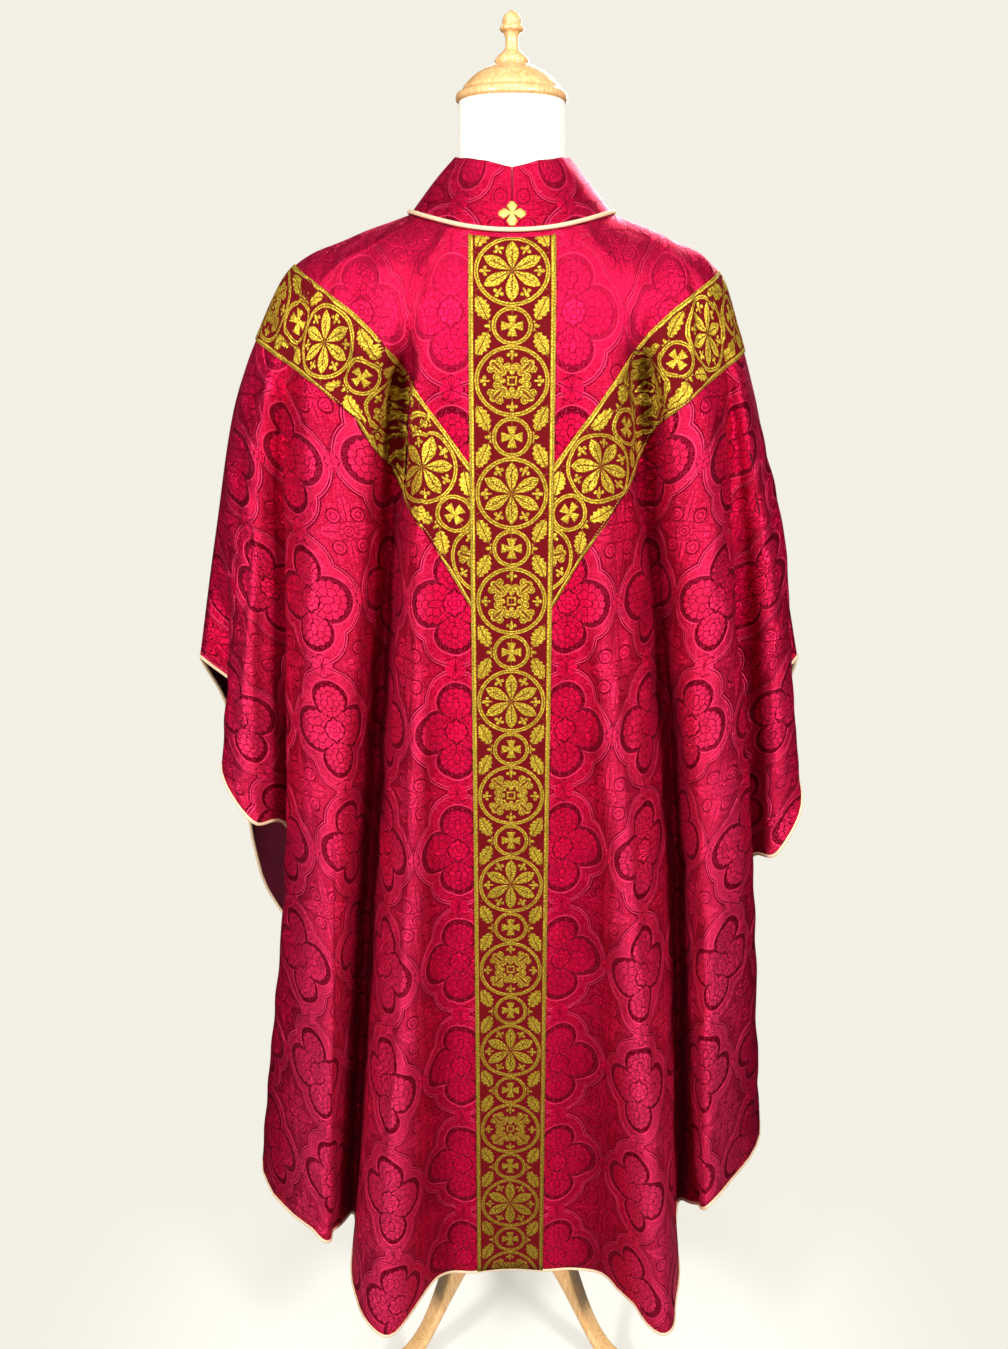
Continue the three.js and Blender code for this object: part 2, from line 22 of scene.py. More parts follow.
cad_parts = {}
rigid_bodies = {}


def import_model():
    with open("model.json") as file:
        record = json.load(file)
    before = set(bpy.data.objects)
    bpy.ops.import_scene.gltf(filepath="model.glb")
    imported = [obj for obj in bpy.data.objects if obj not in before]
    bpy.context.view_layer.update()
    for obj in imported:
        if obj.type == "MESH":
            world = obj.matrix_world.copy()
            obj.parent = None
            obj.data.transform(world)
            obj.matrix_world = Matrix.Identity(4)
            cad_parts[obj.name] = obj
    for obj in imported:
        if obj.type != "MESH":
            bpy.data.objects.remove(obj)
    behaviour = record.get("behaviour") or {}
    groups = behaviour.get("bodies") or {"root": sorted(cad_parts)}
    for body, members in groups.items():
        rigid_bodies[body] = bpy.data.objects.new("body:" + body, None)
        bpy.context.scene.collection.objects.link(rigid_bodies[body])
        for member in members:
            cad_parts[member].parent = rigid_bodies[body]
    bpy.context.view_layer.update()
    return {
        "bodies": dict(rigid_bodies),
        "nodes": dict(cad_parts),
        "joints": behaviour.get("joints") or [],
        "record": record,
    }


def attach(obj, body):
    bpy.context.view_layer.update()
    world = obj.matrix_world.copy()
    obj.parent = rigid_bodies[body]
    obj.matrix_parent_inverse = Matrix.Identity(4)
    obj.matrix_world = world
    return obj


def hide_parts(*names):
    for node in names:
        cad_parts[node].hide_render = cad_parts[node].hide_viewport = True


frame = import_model()
MM = 0.001
CENTRE_SHIFT = 9  # the centre line of the garment stands this far to the wearer's right
BODY = "root"
print("solids in the frame:", len(frame["nodes"]))


def placed(name, data):
    """A new object in the scene that shows the data."""
    made = bpy.data.objects.new(name, data)
    bpy.context.scene.collection.objects.link(made)
    return made


def settle(node, values):
    """Sets a node's inputs by name."""
    for label, value in values.items():
        node.inputs[label].default_value = value


# %% [markdown]
# ## Camera and light
#
# Vestments are shown from behind, because the back carries the richer orphrey. The camera stands close,
# a little below the neck, and looks down at the whole length. Two small lights stand well to the sides,
# so that each fold has a bright flank and a dark valley. A weaker one above makes the shoulders brighter
# than the hem, and a broad one across the room lights the front of the garment.

# %% Camera
EYE = (1, -1266, 1409)  # millimetres: close behind the wearer, at the height of the shoulder blades
LOOK_DOWN = 17.7  # degrees
FRAME_LONG_SIDE = 1349
FOCAL_IN_PIXELS = 1100

camera = placed("camera", bpy.data.cameras.new("camera"))
camera.location = Vector(EYE) * MM
camera.rotation_euler = (math.radians(90 - LOOK_DOWN), 0, 0)
camera.data.sensor_width = 36
camera.data.lens = FOCAL_IN_PIXELS / FRAME_LONG_SIDE * camera.data.sensor_width
bpy.context.scene.camera = camera
bpy.context.scene.view_settings.view_transform = "Standard"
print("camera lens, mm:", round(camera.data.lens, 2))

# %% Lights
WARM = (1, 0.985, 0.96)
LAMPS = [  # name, place and aim, size in metres, power in watts
    ("left_key", (-1.6, -2.0, 1.9), (0, 0, 0.9), 0.4, 88),
    ("right_key", (1.6, -2.0, 1.9), (0, 0, 0.9), 0.4, 86),
    ("front", (0, -2.5, 1.75), (0, 0, 0.95), 0.3, 10),
    ("top", (0, -1.2, 3.0), (0, 0, 1.3), 0.6, 20),
    ("behind", (0.6, 2.8, 2.4), (0, 0, 1.0), 1.6, 85),
]
for name, place, aim, size, power in LAMPS:
    lamp = bpy.data.lights.new(name, "AREA")
    lamp.shape, lamp.size, lamp.energy, lamp.color = "SQUARE", size, power, WARM
    softbox = placed(name, lamp)
    softbox.location = place
    softbox.rotation_euler = (Vector(aim) - Vector(place)).to_track_quat("-Z", "Y").to_euler()
print("lamps:", len(LAMPS))

# %% Backdrop
IVORY = (0.896, 0.868, 0.785, 1)
AMBIENT = 0.06

world = bpy.data.worlds.new("studio")
bpy.context.scene.world = world
world.use_nodes = True
sky = world.node_tree
backdrop = sky.nodes["Background"]
settle(backdrop, {"Color": IVORY})
ray = sky.nodes.new("ShaderNodeLightPath")
seen = sky.nodes.new("ShaderNodeMapRange")
settle(seen, {"To Min": AMBIENT})
sky.links.new(ray.outputs["Is Camera Ray"], seen.inputs["Value"])
sky.links.new(seen.outputs["Result"], backdrop.inputs["Strength"])

# %% The floor
FLOOR_REACH = 14.0  # metres
FLOOR_PAINT = (0.84, 0.82, 0.76, 1)
SHADOW_UNTIL, BACKDROP_FROM = 0.2, 0.75  # metres from the stand


def pale_floor():
    """A floor that takes a soft shadow near the stand and melts into the backdrop further off."""
    mesh = bpy.data.meshes.new("floor")
    corners = [(x * FLOOR_REACH, y * FLOOR_REACH, 0) for x, y in ((-1, -1), (1, -1), (1, 1), (-1, 1))]
    mesh.from_pydata(corners, [], [(0, 1, 2, 3)])
    paint = bpy.data.materials.new("pale floor")
    paint.use_nodes = True
    tree = paint.node_tree
    matt = tree.nodes["Principled BSDF"]
    settle(matt, {"Base Color": FLOOR_PAINT, "Roughness": 0.9})
    glow = tree.nodes.new("ShaderNodeEmission")
    settle(glow, {"Color": IVORY})
    direct = tree.nodes.new("ShaderNodeLightPath")
    place = tree.nodes.new("ShaderNodeTexCoord")
    far = tree.nodes.new("ShaderNodeVectorMath")
    far.operation = "LENGTH"
    fade = tree.nodes.new("ShaderNodeMapRange")
    fade.interpolation_type = "SMOOTHSTEP"
    settle(fade, {"From Min": SHADOW_UNTIL, "From Max": BACKDROP_FROM, "To Min": 0.55})
    melt = tree.nodes.new("ShaderNodeMixShader")
    for source, target in (
        (direct.outputs["Is Camera Ray"], glow.inputs["Strength"]),
        (place.outputs["Object"], far.inputs[0]),
        (far.outputs["Value"], fade.inputs["Value"]),
        (fade.outputs["Result"], melt.inputs["Fac"]),
        (matt.outputs["BSDF"], melt.inputs[1]),
        (glow.outputs["Emission"], melt.inputs[2]),
        (melt.outputs["Shader"], tree.nodes["Material Output"].inputs["Surface"]),
    ):
        tree.links.new(source, target)
    mesh.materials.append(paint)
    return placed("floor", mesh)


pale_floor()

# %% [markdown]
# ## The cut and its folds
#
# A folded garment is hard to model by pushing points about. It is easier to think of **ribs**: lines of
# cloth that start at the neck seam, cross the shoulders and hang to the hem. Between two ribs the cloth
# is only curved, so a short table of the main folds is enough. Each row says where one line of a fold
# passes at the chest, half way down and at the hem. The same tables drive the solids in the frame, so
# the fine cloth here lies where they do.


# %% Rings of the yoke
def ring_row(*row):
    """Half widths, heights at the side, back and front, depths behind and ahead, and squareness."""
    return dict(zip(("left", "right", "side", "back", "front", "behind", "ahead", "power"), row))


YOKE = [
    ring_row(107, 107, 1519, 1495, 1468, 107, 98, 2),  # neck seam
    ring_row(172, 166, 1496, 1466, 1448, 118, 116, 2.1),  # shoulder
    ring_row(233, 218, 1467, 1438, 1424, 127, 132, 2.2),  # tip of the shoulder
    ring_row(275, 248, 1400, 1390, 1384, 131, 141, 2.1),  # upper arm
]
CHEST = 1330  # height at which the folds begin
HALF_BAND = 43  # half the width of the galloon
SEAM_GAP = 0.3
CLOTH = 1.6

# %% The folds of the back and of the front
# name, x at the chest, half way and hem, out from the shoulder line at the same places, height of the hem
BACK_FOLDS = [
    ("left seam", (-307, -342, -373), (0, 0, 0), 1030),
    ("left under fold", (-293, -326, -310), (34, 30, 14), 972),
    ("left wing edge", (-280, -314, -346), (50, 50, 42), 905),
    ("left wing crest", (-262, -290, -305), (70, 76, 80), 850),
    ("left crease", (-246, -258, -267), (60, 40, 25), 800),
    ("left return", (-240, -228, -218), (64, 27, 14), 520),
    ("left side edge", (-232, -270, -338), (78, 66, 35), 322),
    ("left side crest", (-200, -210, -243), (102, 126, 150), 304),
    ("left side slope", (-146, -190, -226), (106, 106, 118), 284),
    ("left valley", (-118, -172, -213), (80, 42, 54), 246),
    ("left lobe edge", (-100, -148, -202), (112, 106, 150), 212),
    ("left lobe crest", (-88, -116, -152), (125, 150, 205), 202),
    ("left lobe slope", (-66, -78, -98), (128, 116, 124), 207),
    ("left of pillar", (-43, -43, -43), (132, 114, 119), 215),
    ("centre back", (0, 0, 0), (133, 111, 116), 216),
    ("right of pillar", (43, 43, 43), (132, 114, 119), 217),
    ("right lobe slope", (62, 88, 122), (128, 106, 116), 207),
    ("right lobe crest", (80, 133, 188), (126, 150, 205), 206),
    ("right lobe edge", (112, 174, 216), (108, 104, 155), 216),
    ("right valley", (136, 203, 227), (82, 40, 54), 262),
    ("right side slope", (162, 212, 240), (104, 100, 110), 318),
    ("right side crest", (196, 231, 254), (102, 126, 145), 354),
    ("right side edge", (218, 286, 338), (80, 64, 32), 380),
    ("right return", (228, 244, 232), (66, 27, 14), 560),
    ("right crease", (236, 277, 291), (54, 36, 24), 762),
    ("right wing crest", (247, 296, 323), (58, 66, 62), 800),
    ("right wing edge", (258, 312, 353), (42, 44, 36), 862),
    ("right under fold", (266, 316, 320), (24, 24, 12), 985),
    ("right seam", (273, 309, 344), (0, 0, 0), 1030),
]
FRONT_FOLDS = [
    ("left seam", (-307, -342, -373), (0, 0, 0), 1030),
    ("left front wing", (-288, -326, -352), (44, 50, 50), 925),
    ("left front edge", (-266, -306, -334), (72, 82, 70), 700),
    ("left front crease", (-242, -252, -258), (86, 50, 36), 560),
    ("left front side", (-222, -256, -300), (98, 84, 70), 350),
    ("left front crest", (-184, -206, -236), (118, 138, 158), 286),
    ("left front valley", (-132, -152, -178), (112, 76, 84), 250),
    ("left front lobe", (-94, -112, -138), (138, 164, 206), 222),
    ("left front slope", (-66, -70, -84), (143, 134, 152), 226),
    ("left of front pillar", (-43, -43, -43), (145, 129, 136), 228),
    ("centre front", (0, 0, 0), (146, 127, 134), 229),
    ("right of front pillar", (43, 43, 43), (145, 129, 136), 228),
    ("right front slope", (66, 76, 98), (143, 132, 148), 226),
    ("right front lobe", (98, 126, 160), (137, 160, 207), 222),
    ("right front valley", (136, 172, 192), (108, 72, 82), 254),
    ("right front crest", (176, 216, 246), (116, 134, 154), 300),
    ("right front side", (206, 264, 308), (97, 78, 62), 384),
    ("right front crease", (224, 262, 276), (78, 48, 34), 600),
    ("right front edge", (242, 292, 320), (62, 72, 62), 770),
    ("right front wing", (260, 308, 338), (38, 46, 44), 930),
    ("right seam", (273, 309, 344), (0, 0, 0), 1030),
]
print("fold lines:", len(BACK_FOLDS), "behind and", len(FRONT_FOLDS), "in front")

# %% [markdown]
# Two curves do all the work. One runs **through** the rows of a table, so that a few named folds become
# hundreds of ribs. The other runs down each rib through its knots. The second is a *centripetal*
# Catmull-Rom curve: unlike the plain one it never loops or overshoots where two knots lie close
# together, as they do on the shoulders.


# %% Curves
def through(values, u):
    """The smooth curve through evenly spaced rows of values, at the positions u."""
    values = np.asarray(values, float)
    row = np.minimum(u.astype(int), len(values) - 2)
    t = (u - row)[:, None]
    ends = np.concatenate([2 * values[:1] - values[1:2], values, 2 * values[-1:] - values[-2:-1]])
    a, b, c, d = (ends[row + k] for k in range(4))
    return b + 0.5 * t * (c - a + t * (2 * a - 5 * b + 4 * c - d + t * (3 * (b - c) + d - a)))


def down_the_ribs(knots, shares):
    """Points of one centripetal curve per rib, at shares of its knots. knots is (rib, knot, xyz)."""
    first, last = 2 * knots[:, :1] - knots[:, 1:2], 2 * knots[:, -1:] - knots[:, -2:-1]
    ends = np.concatenate([first, knots, last], axis=1)
    spans = knots.shape[1] - 1
    span = np.minimum((shares * spans).astype(int), spans - 1)
    w = (shares * spans - span)[None, :, None]
    a, b, c, d = (ends[:, span + k] for k in range(4))
    steps = ((a, b), (b, c), (c, d))
    before, here, after = (np.linalg.norm(q - p, axis=2, keepdims=True) ** 0.5 for p, q in steps)
    leave = ((b - a) / before - (c - a) / (before + here) + (c - b) / here) * here
    arrive = ((c - b) / here - (d - b) / (here + after) + (d - c) / after) * here
    return b + w * (leave + w * (-3 * b + 3 * c - 2 * leave - arrive + w * (2 * b - 2 * c + leave + arrive)))


# %% From a table to the ribs' knots
def on_ring(ring, across, side, face):
    """A place on a ring of the yoke or collar, across from the centre line. face is -1 behind and 1 ahead."""
    half = np.where(side < 0, ring["left"], ring["right"])
    share = np.minimum(1, across / half)
    depth, centre = (ring["behind"], ring["back"]) if face < 0 else (ring["ahead"], ring["front"])
    out = depth * (1 - share ** ring["power"]) ** (1 / ring["power"])
    height = centre + (ring["side"] - centre) * share**2
    return np.stack([side * across, face * out, height], axis=-1)


def rib_knots(folds, face, u):
    """The ribs' knots at positions u of a fold table: four on the yoke, three on the hanging cloth."""
    x = through([row[1] for row in folds], u)
    out = through([row[2] for row in folds], u)
    hem = through([[row[3]] for row in folds], u)[:, 0]
    side = np.where(x[:, 0] < 0, -1, 1)
    reach = np.where(side < 0, -folds[0][1][0], folds[-1][1][0])
    spread = (np.abs(x[:, 0]) - HALF_BAND) / (reach - HALF_BAND)
    knots = []
    for ring in YOKE:
        half = np.where(side < 0, ring["left"], ring["right"])
        across = np.where(spread < 0, np.abs(x[:, 0]), HALF_BAND + (half - HALF_BAND) * spread)
        knots.append(on_ring(ring, across, side, face))
    for k, height in enumerate((np.full_like(hem, CHEST), (CHEST + hem) / 2, hem)):
        knots.append(np.stack([x[:, k], face * out[:, k], height], axis=-1))
    knots = np.stack(knots, axis=1)
    knots[..., 1] += face * SEAM_GAP / 2
    return knots


# %% [markdown]
# ## The cloth's own coordinates
#
# A woven pattern follows the cloth and not the space around it. So every point of a panel gets two
# lengths: how far it lies from the centre line along the weft, and how far below the chest along the
# warp. Both are measured on the folded cloth, rib by rib, which is why a medallion that runs into a fold
# is squeezed there exactly as real damask is. Above the chest the yoke is nearly flat, and the plain
# distance across stands in for the weft.

# %% Fineness of the cloth
RIBS_PER_FOLD = 8
YOKE_STEPS = 9
BODY_STEPS = 52
CHEST_ROW = len(YOKE) * YOKE_STEPS
WEFT_LEVELS = 90


def unit(vectors):
    return vectors / np.maximum(np.linalg.norm(vectors, axis=-1, keepdims=True), 1e-12)


def sheet_normals(points, face):
    """Directions out of the garment. At a shoulder seam they keep to the plane that both panels share."""
    normals = face * np.cross(np.gradient(points, axis=0), np.gradient(points, axis=1))
    normals[[0, -1], :, 1] = 0
    return unit(normals)


def cloth_lengths(points, centre):
    """Weft and warp lengths in millimetres for each point. centre is the column of the centre line."""
    steps = np.diff(points, axis=1)
    steps[:, :CHEST_ROW, 0] = 0
    run = np.linalg.norm(steps, axis=2)
    warp = np.concatenate([np.zeros((len(points), 1)), np.cumsum(run, axis=1)], axis=1)
    warp -= warp[:, CHEST_ROW : CHEST_ROW + 1]
    levels = np.linspace(CHEST, points[..., 2].min(), WEFT_LEVELS)
    hanging = points[:, CHEST_ROW:]
    at_level = np.stack([[np.interp(-levels, -p[:, 2], p[:, k]) for k in (0, 1)] for p in hanging])
    gaps = np.linalg.norm(np.diff(at_level, axis=0), axis=1)
    across = np.concatenate([np.zeros((1, WEFT_LEVELS)), np.cumsum(gaps, axis=0)])
    across -= across[centre]
    weft = np.stack([np.interp(-p[:, 2], -levels, a) for p, a in zip(points, across)])
    chest_x = points[:, CHEST_ROW, 0]
    ratio = np.where(np.abs(chest_x) > 1, across[:, 0] / np.where(np.abs(chest_x) > 1, chest_x, 1), 1)
    weft[:, :CHEST_ROW] = points[:, :CHEST_ROW, 0] * ratio[:, None]
    return np.stack([weft, warp], axis=-1)


# %% [markdown]
# ## Creases
#
# The table gives the large folds. Real cloth has a second family of marks: soft channels where it was
# folded away, and drag lines where the weight of the galloon pulls on it. They are placed one by one,
# each as a line on the cloth with a depth and a width, and no two are alike. A few slow waves, too
# shallow to see one by one, keep the long surfaces from looking like sheet metal.

# %% Creases of the back and of the front
# the fold row and height of each end, the depth (positive for a channel) and the half width
BACK_CREASES = [
    ((7.3, 1240), (7.6, 420), 5, 9),
    ((6.7, 1180), (6.6, 520), -4, 8),
    ((8.4, 1290), (8.3, 900), 4, 8),
    ((11.5, 1210), (11.8, 640), 3.5, 9),
    ((10.7, 980), (10.5, 330), 4, 9),
    ((12.5, 1090), (12.6, 300), -3, 8),
    ((16.4, 1080), (16.3, 380), 3.5, 10),
    ((17.4, 1180), (17.6, 500), 4, 9),
    ((18.4, 900), (18.5, 330), -3, 8),
    ((20.7, 1250), (21.0, 700), 5, 8),
    ((21.5, 1160), (21.6, 480), -5, 8),
    ((21.9, 1330), (22.2, 900), 4, 7),
    ((24.9, 1330), (25.4, 960), 4, 8),
    ((2.6, 1330), (2.4, 960), 5, 8),
    ((3.4, 1200), (3.3, 900), 4, 9),
    ((8.5, 1425), (9.8, 1345), 4, 10),
    ((19.9, 1420), (18.9, 1330), 5, 10),
    ((21.6, 1432), (20.4, 1350), -4, 9),
    ((6.6, 1440), (7.9, 1360), -4, 9),
    ((22.6, 1450), (21.4, 1385), 4, 8),
    ((5.0, 1462), (6.6, 1402), 4, 9),
    ((9.1, 1405), (9.3, 1215), 12, 15),
    ((10.4, 1392), (10.0, 1262), -4, 9),
    ((19.3, 1400), (18.9, 1222), 13, 15),
    ((17.6, 1388), (17.9, 1270), -4, 9),
]
FRONT_CREASES = [
    ((4.6, 1210), (4.8, 430), 4, 9),
    ((6.5, 1180), (6.7, 560), -3, 9),
    ((7.5, 1120), (7.6, 380), 4, 9),
    ((12.6, 1160), (12.6, 420), 3.5, 10),
    ((14.6, 1230), (14.8, 640), -4, 8),
    ((15.5, 1100), (15.6, 400), 4, 9),
    ((1.6, 1300), (1.5, 980), 4, 9),
    ((18.3, 1290), (18.5, 960), 4, 9),
]
SLOW_WAVES = 9
WAVE_DEPTH = 1.3
SHORTEST_WEFT_WAVE, SHORTEST_WARP_WAVE = 45, 110  # millimetres
rng = np.random.default_rng(12)
waves = []
for _ in range(SLOW_WAVES):
    weft, warp = rng.uniform(-1, 1) / SHORTEST_WEFT_WAVE, rng.uniform(-1, 1) / SHORTEST_WARP_WAVE
    waves.append((weft, warp, rng.uniform(0, 2 * math.pi)))


def on_cloth(points, lengths, fold_row, height):
    """Weft and warp lengths of the place on a fold row at a height."""
    column = int(round(fold_row * RIBS_PER_FOLD))
    down = -points[column, :, 2]
    return np.array([np.interp(-height, down, lengths[column, :, k]) for k in (0, 1)])


def creased(points, normals, lengths, creases):
    """The panel with its creases and slow waves pressed in along its normals."""
    press = np.zeros(points.shape[:2])
    for *places, deep, wide in creases:
        start, end = (on_cloth(points, lengths, *place) for place in places)
        along = end - start
        share = np.clip(((lengths - start) @ along) / (along @ along), 0, 1)
        away = np.linalg.norm(lengths - start - share[..., None] * along, axis=-1)
        swell = np.sin(math.pi * np.clip(share, 0.02, 0.98)) ** 0.6
        press += deep * swell * np.exp(-((away / wide) ** 2))
    for weft, warp, phase in waves:
        turns = lengths[..., 0] * weft + lengths[..., 1] * warp
        press += WAVE_DEPTH / 3 * np.sin(2 * math.pi * turns + phase)
    column = np.arange(len(points))[:, None] / RIBS_PER_FOLD
    row = np.arange(points.shape[1])[None, :] / YOKE_STEPS
    from_seams = np.clip(column, 0, 1) * np.clip((len(points) - 1) / RIBS_PER_FOLD - column, 0, 1)
    calm = from_seams * np.clip(row, 0, 1)
    stiff = 1 - 0.75 * np.exp(-((lengths[..., 0] / (HALF_BAND + 8)) ** 8))
    return points - normals * (press * calm * stiff)[..., None]


# %% One panel as a sheet of points
FULL_FOLD = 28  # millimetres that a place stands out from the cloth about it on a full crest


def fold_share(points, face):
    """1 on a full crest, -1 deep in a valley and 0 on flat cloth. The damask turns it into painted shade in the
    valleys and a painted highlight on the crests.
    """
    out = face * points[..., 1]
    reach = 2 * RIBS_PER_FOLD
    weights = np.hanning(2 * reach + 1)
    wide = np.pad(out, ((reach, reach), (0, 0)), mode="edge")
    mean = sum(weight * wide[k : k + len(out)] for k, weight in enumerate(weights / weights.sum()))
    return np.clip((out - mean) / FULL_FOLD, -1, 1)


def panel_sheet(folds, face, creases):
    u = np.arange((len(folds) - 1) * RIBS_PER_FOLD + 1) / RIBS_PER_FOLD
    spans = len(YOKE) + 2
    yoke = np.arange(CHEST_ROW) / YOKE_STEPS
    body = np.linspace(len(YOKE), spans, 2 * BODY_STEPS + 1)
    smooth = down_the_ribs(rib_knots(folds, face, u), np.concatenate([yoke, body]) / spans)
    centre = [row[0] for row in folds].index("centre back" if face < 0 else "centre front") * RIBS_PER_FOLD
    lengths = cloth_lengths(smooth, centre)
    points = creased(smooth, sheet_normals(smooth, face), lengths, creases)
    fold = fold_share(points, face)
    return dict(points=points, normals=sheet_normals(points, face), lengths=lengths, fold=fold, folds=folds)


back = panel_sheet(BACK_FOLDS, -1, BACK_CREASES)
front = panel_sheet(FRONT_FOLDS, 1, FRONT_CREASES)
print("back panel, ribs and points down each:", back["points"].shape[:2])

# %% [markdown]
# ## Maths nodes without the wiring
#
# A woven figure is drawn by asking, at each point of the cloth, *how far is this from that shape?*
# Written with nodes, one such question takes ten boxes and twenty wires. The small class below lets it
# be written as plain arithmetic. Every `+`, `*` or `least` still makes a real Math node, so the result
# is an ordinary node tree.


# %% A number that varies over the cloth
class Field:
    """The output of a node, with arithmetic that adds more nodes to the same tree."""

    def __init__(self, tree, socket):
        self.tree, self.socket = tree, socket

    def node(self, kind, *inputs, output=0, **settings):
        made = self.tree.nodes.new(kind)
        for name, value in settings.items():
            setattr(made, name, value)
        for k, value in enumerate(inputs):
            if isinstance(value, Field):
                self.tree.links.new(value.socket, made.inputs[k])
            elif value is not None:
                made.inputs[k].default_value = value
        return Field(self.tree, made.outputs[output])

    def maths(self, operation, *others, clamp=False):
        return self.node("ShaderNodeMath", self, *others, operation=operation, use_clamp=clamp)

    def __add__(self, other):
        return self.maths("ADD", other)

    def __sub__(self, other):
        return self.maths("SUBTRACT", other)

    def __mul__(self, other):
        return self.maths("MULTIPLY", other)

    def __truediv__(self, other):
        return self.maths("DIVIDE", other)

    def __rsub__(self, number):
        return self.node("ShaderNodeMath", number, self, operation="SUBTRACT")

    __radd__, __rmul__ = __add__, __mul__

    def size(self):
        return self.maths("ABSOLUTE")

    def least(self, other):
        return self.maths("MINIMUM", other)

    def most(self, other):
        return self.maths("MAXIMUM", other)

    def mirrored(self, half_repeat):
        """Distance to the nearest of the mirror lines that lie two half repeats apart."""
        return self.maths("PINGPONG", half_repeat)


def distance(x, y):
    """Length of the vector whose parts are the fields x and y."""
    vector = x.node("ShaderNodeCombineXYZ", x, y)
    return x.node("ShaderNodeVectorMath", vector, output=1, operation="LENGTH")


def inside(gap, edge=0.7):
    """1 where a signed gap is below nought and 0 outside, with a soft edge in millimetres."""
    return (0.5 - gap / edge).maths("ADD", 0.0, clamp=True)


def line(gap, at, half_width, edge=0.6):
    """A thin line where a gap has the value at."""
    return inside((gap - at).size() - half_width, edge)


def any_of(*masks):
    result = masks[0]
    for mask in masks[1:]:
        result = result.most(mask)
    return result


def turned_axes(x, y, degrees):
    """Along and across distances for an axis at an angle."""
    c, s = math.cos(math.radians(degrees)), math.sin(math.radians(degrees))
    return x * c + y * s, (y * c - x * s).size()


def oval(along, across, at, half_length, half_width):
    """Signed gap, nearly in millimetres, to an oval that lies along an axis."""
    return (distance((along - at) / half_length, across / half_width) - 1) * min(half_length, half_width)


# %% Starting a material on the cloth's lengths
def cloth_material(name):
    """A new material with its shader, and the two cloth lengths in millimetres as fields."""
    material = bpy.data.materials.new(name)
    material.use_nodes = True
    tree = material.node_tree
    lengths = tree.nodes.new("ShaderNodeUVMap")
    lengths.uv_map = "cloth"
    parts = tree.nodes.new("ShaderNodeSeparateXYZ")
    tree.links.new(lengths.outputs["UV"], parts.inputs[0])
    across = Field(tree, parts.outputs["X"]) * 1000
    down = Field(tree, parts.outputs["Y"]) * 1000
    return material, tree.nodes["Principled BSDF"], across, down


def noise(place, scale, detail, stretch=(1, 1)):
    """Noise over a pair of fields, with features about 1 / scale millimetres apart."""
    x, y = place
    vector = x.node("ShaderNodeCombineXYZ", x * (stretch[0] * scale), y * (stretch[1] * scale))
    made = x.node("ShaderNodeTexNoise", noise_dimensions="2D")
    node = made.socket.node
    x.tree.links.new(vector.socket, node.inputs["Vector"])
    settle(node, {"Scale": 1, "Detail": detail})
    return made


def blend(mask, first, second):
    """A colour that is the first where the mask is 0 and the second where it is 1."""
    mix = mask.tree.nodes.new("ShaderNodeMix")
    mix.data_type = "RGBA"
    mask.tree.links.new(mask.socket, mix.inputs["Factor"])
    for value, socket in ((first, mix.inputs[6]), (second, mix.inputs[7])):
        if isinstance(value, Field):
            mask.tree.links.new(value.socket, socket)
        else:
            socket.default_value = (*value, 1)
    return Field(mask.tree, mix.outputs[2])


def raise_by(shader, height, depth):
    """Bump, with the depth of a full step in metres."""
    tree = height.tree
    bump = tree.nodes.new("ShaderNodeBump")
    settle(bump, {"Strength": 1, "Distance": depth})
    tree.links.new(height.socket, bump.inputs["Height"])
    tree.links.new(bump.outputs["Normal"], shader.inputs["Normal"])


# %% [markdown]
# ## The damask
#
# Damask shows its pattern in one colour: the figure is woven as satin, which shines, and the ground is
# woven the other way, which doesn't. This one has four-lobed medallions that touch at their sides. Each
# holds four round flower heads about a small rose, and leafy crosses fill the spaces between. The
# pattern is its own mirror image both ways, so folding the cloth's lengths with a *ping-pong* leaves one
# quarter of a repeat to draw.

# %% The figure of the damask, in millimetres
HALF_WEFT, HALF_WARP = 61, 74  # half a repeat across and down
MEDALLION_AT = (61, 58)  # one medallion's centre on the cloth
SIDE_LOBE, TOP_LOBE = dict(at=24, reach=26), dict(at=35.5, reach=21.5)
SIDE_FRAME, TOP_FRAME = dict(at=16, reach=44), dict(at=36, reach=37)
ROSE = 12.2


def polar(x, y):
    return distance(x, y), y.maths("ARCTAN2", x)


def petal_row(radius, angle, count, reach, scallop):
    """Signed gap to a ring of rounded petals, and the distance to the nearest line between two of them."""
    half = math.pi / count
    turn = angle.mirrored(half)
    share = turn / half
    return radius - reach + share * share * scallop, radius * (half - turn)


def peony(out, off, size):
    """A flower head that opens along its own axis, and the dark lines between its petals."""
    radius, angle = polar(out, off)
    fringe, fringe_split = petal_row(radius, angle, 15, size, 1.9)
    row, row_split = petal_row(radius, angle, 7, size * 0.68, 2.8)
    heart = oval(out, off, size * -0.04, size * 0.38, size * 0.2)
    lines = any_of(
        line(fringe_split, 0, 0.4) * (1 - inside(row - 1)),
        line(row, 0, 0.5),
        line(row_split, 0, 0.4) * inside(row) * (1 - inside(heart)),
        line(heart, 0, 0.45),
    )
    return fringe, lines


def acanthus_leaf(along, off, root, tip, spread, lobe):
    """Signed gap to a lobed leaf that points along an axis, and its veins."""
    lobes = (along - off * 0.9).mirrored(lobe)
    half_width = (tip - along) * spread + lobes * (2.6 / lobe) - 1.3
    gap = (off - half_width).most(root - along)
    veins = any_of(line(off, 0, 0.4), line(lobes, 0, 0.35) * (1 - inside(off - 1.8)))
    return gap, veins * inside(along - tip + 5)


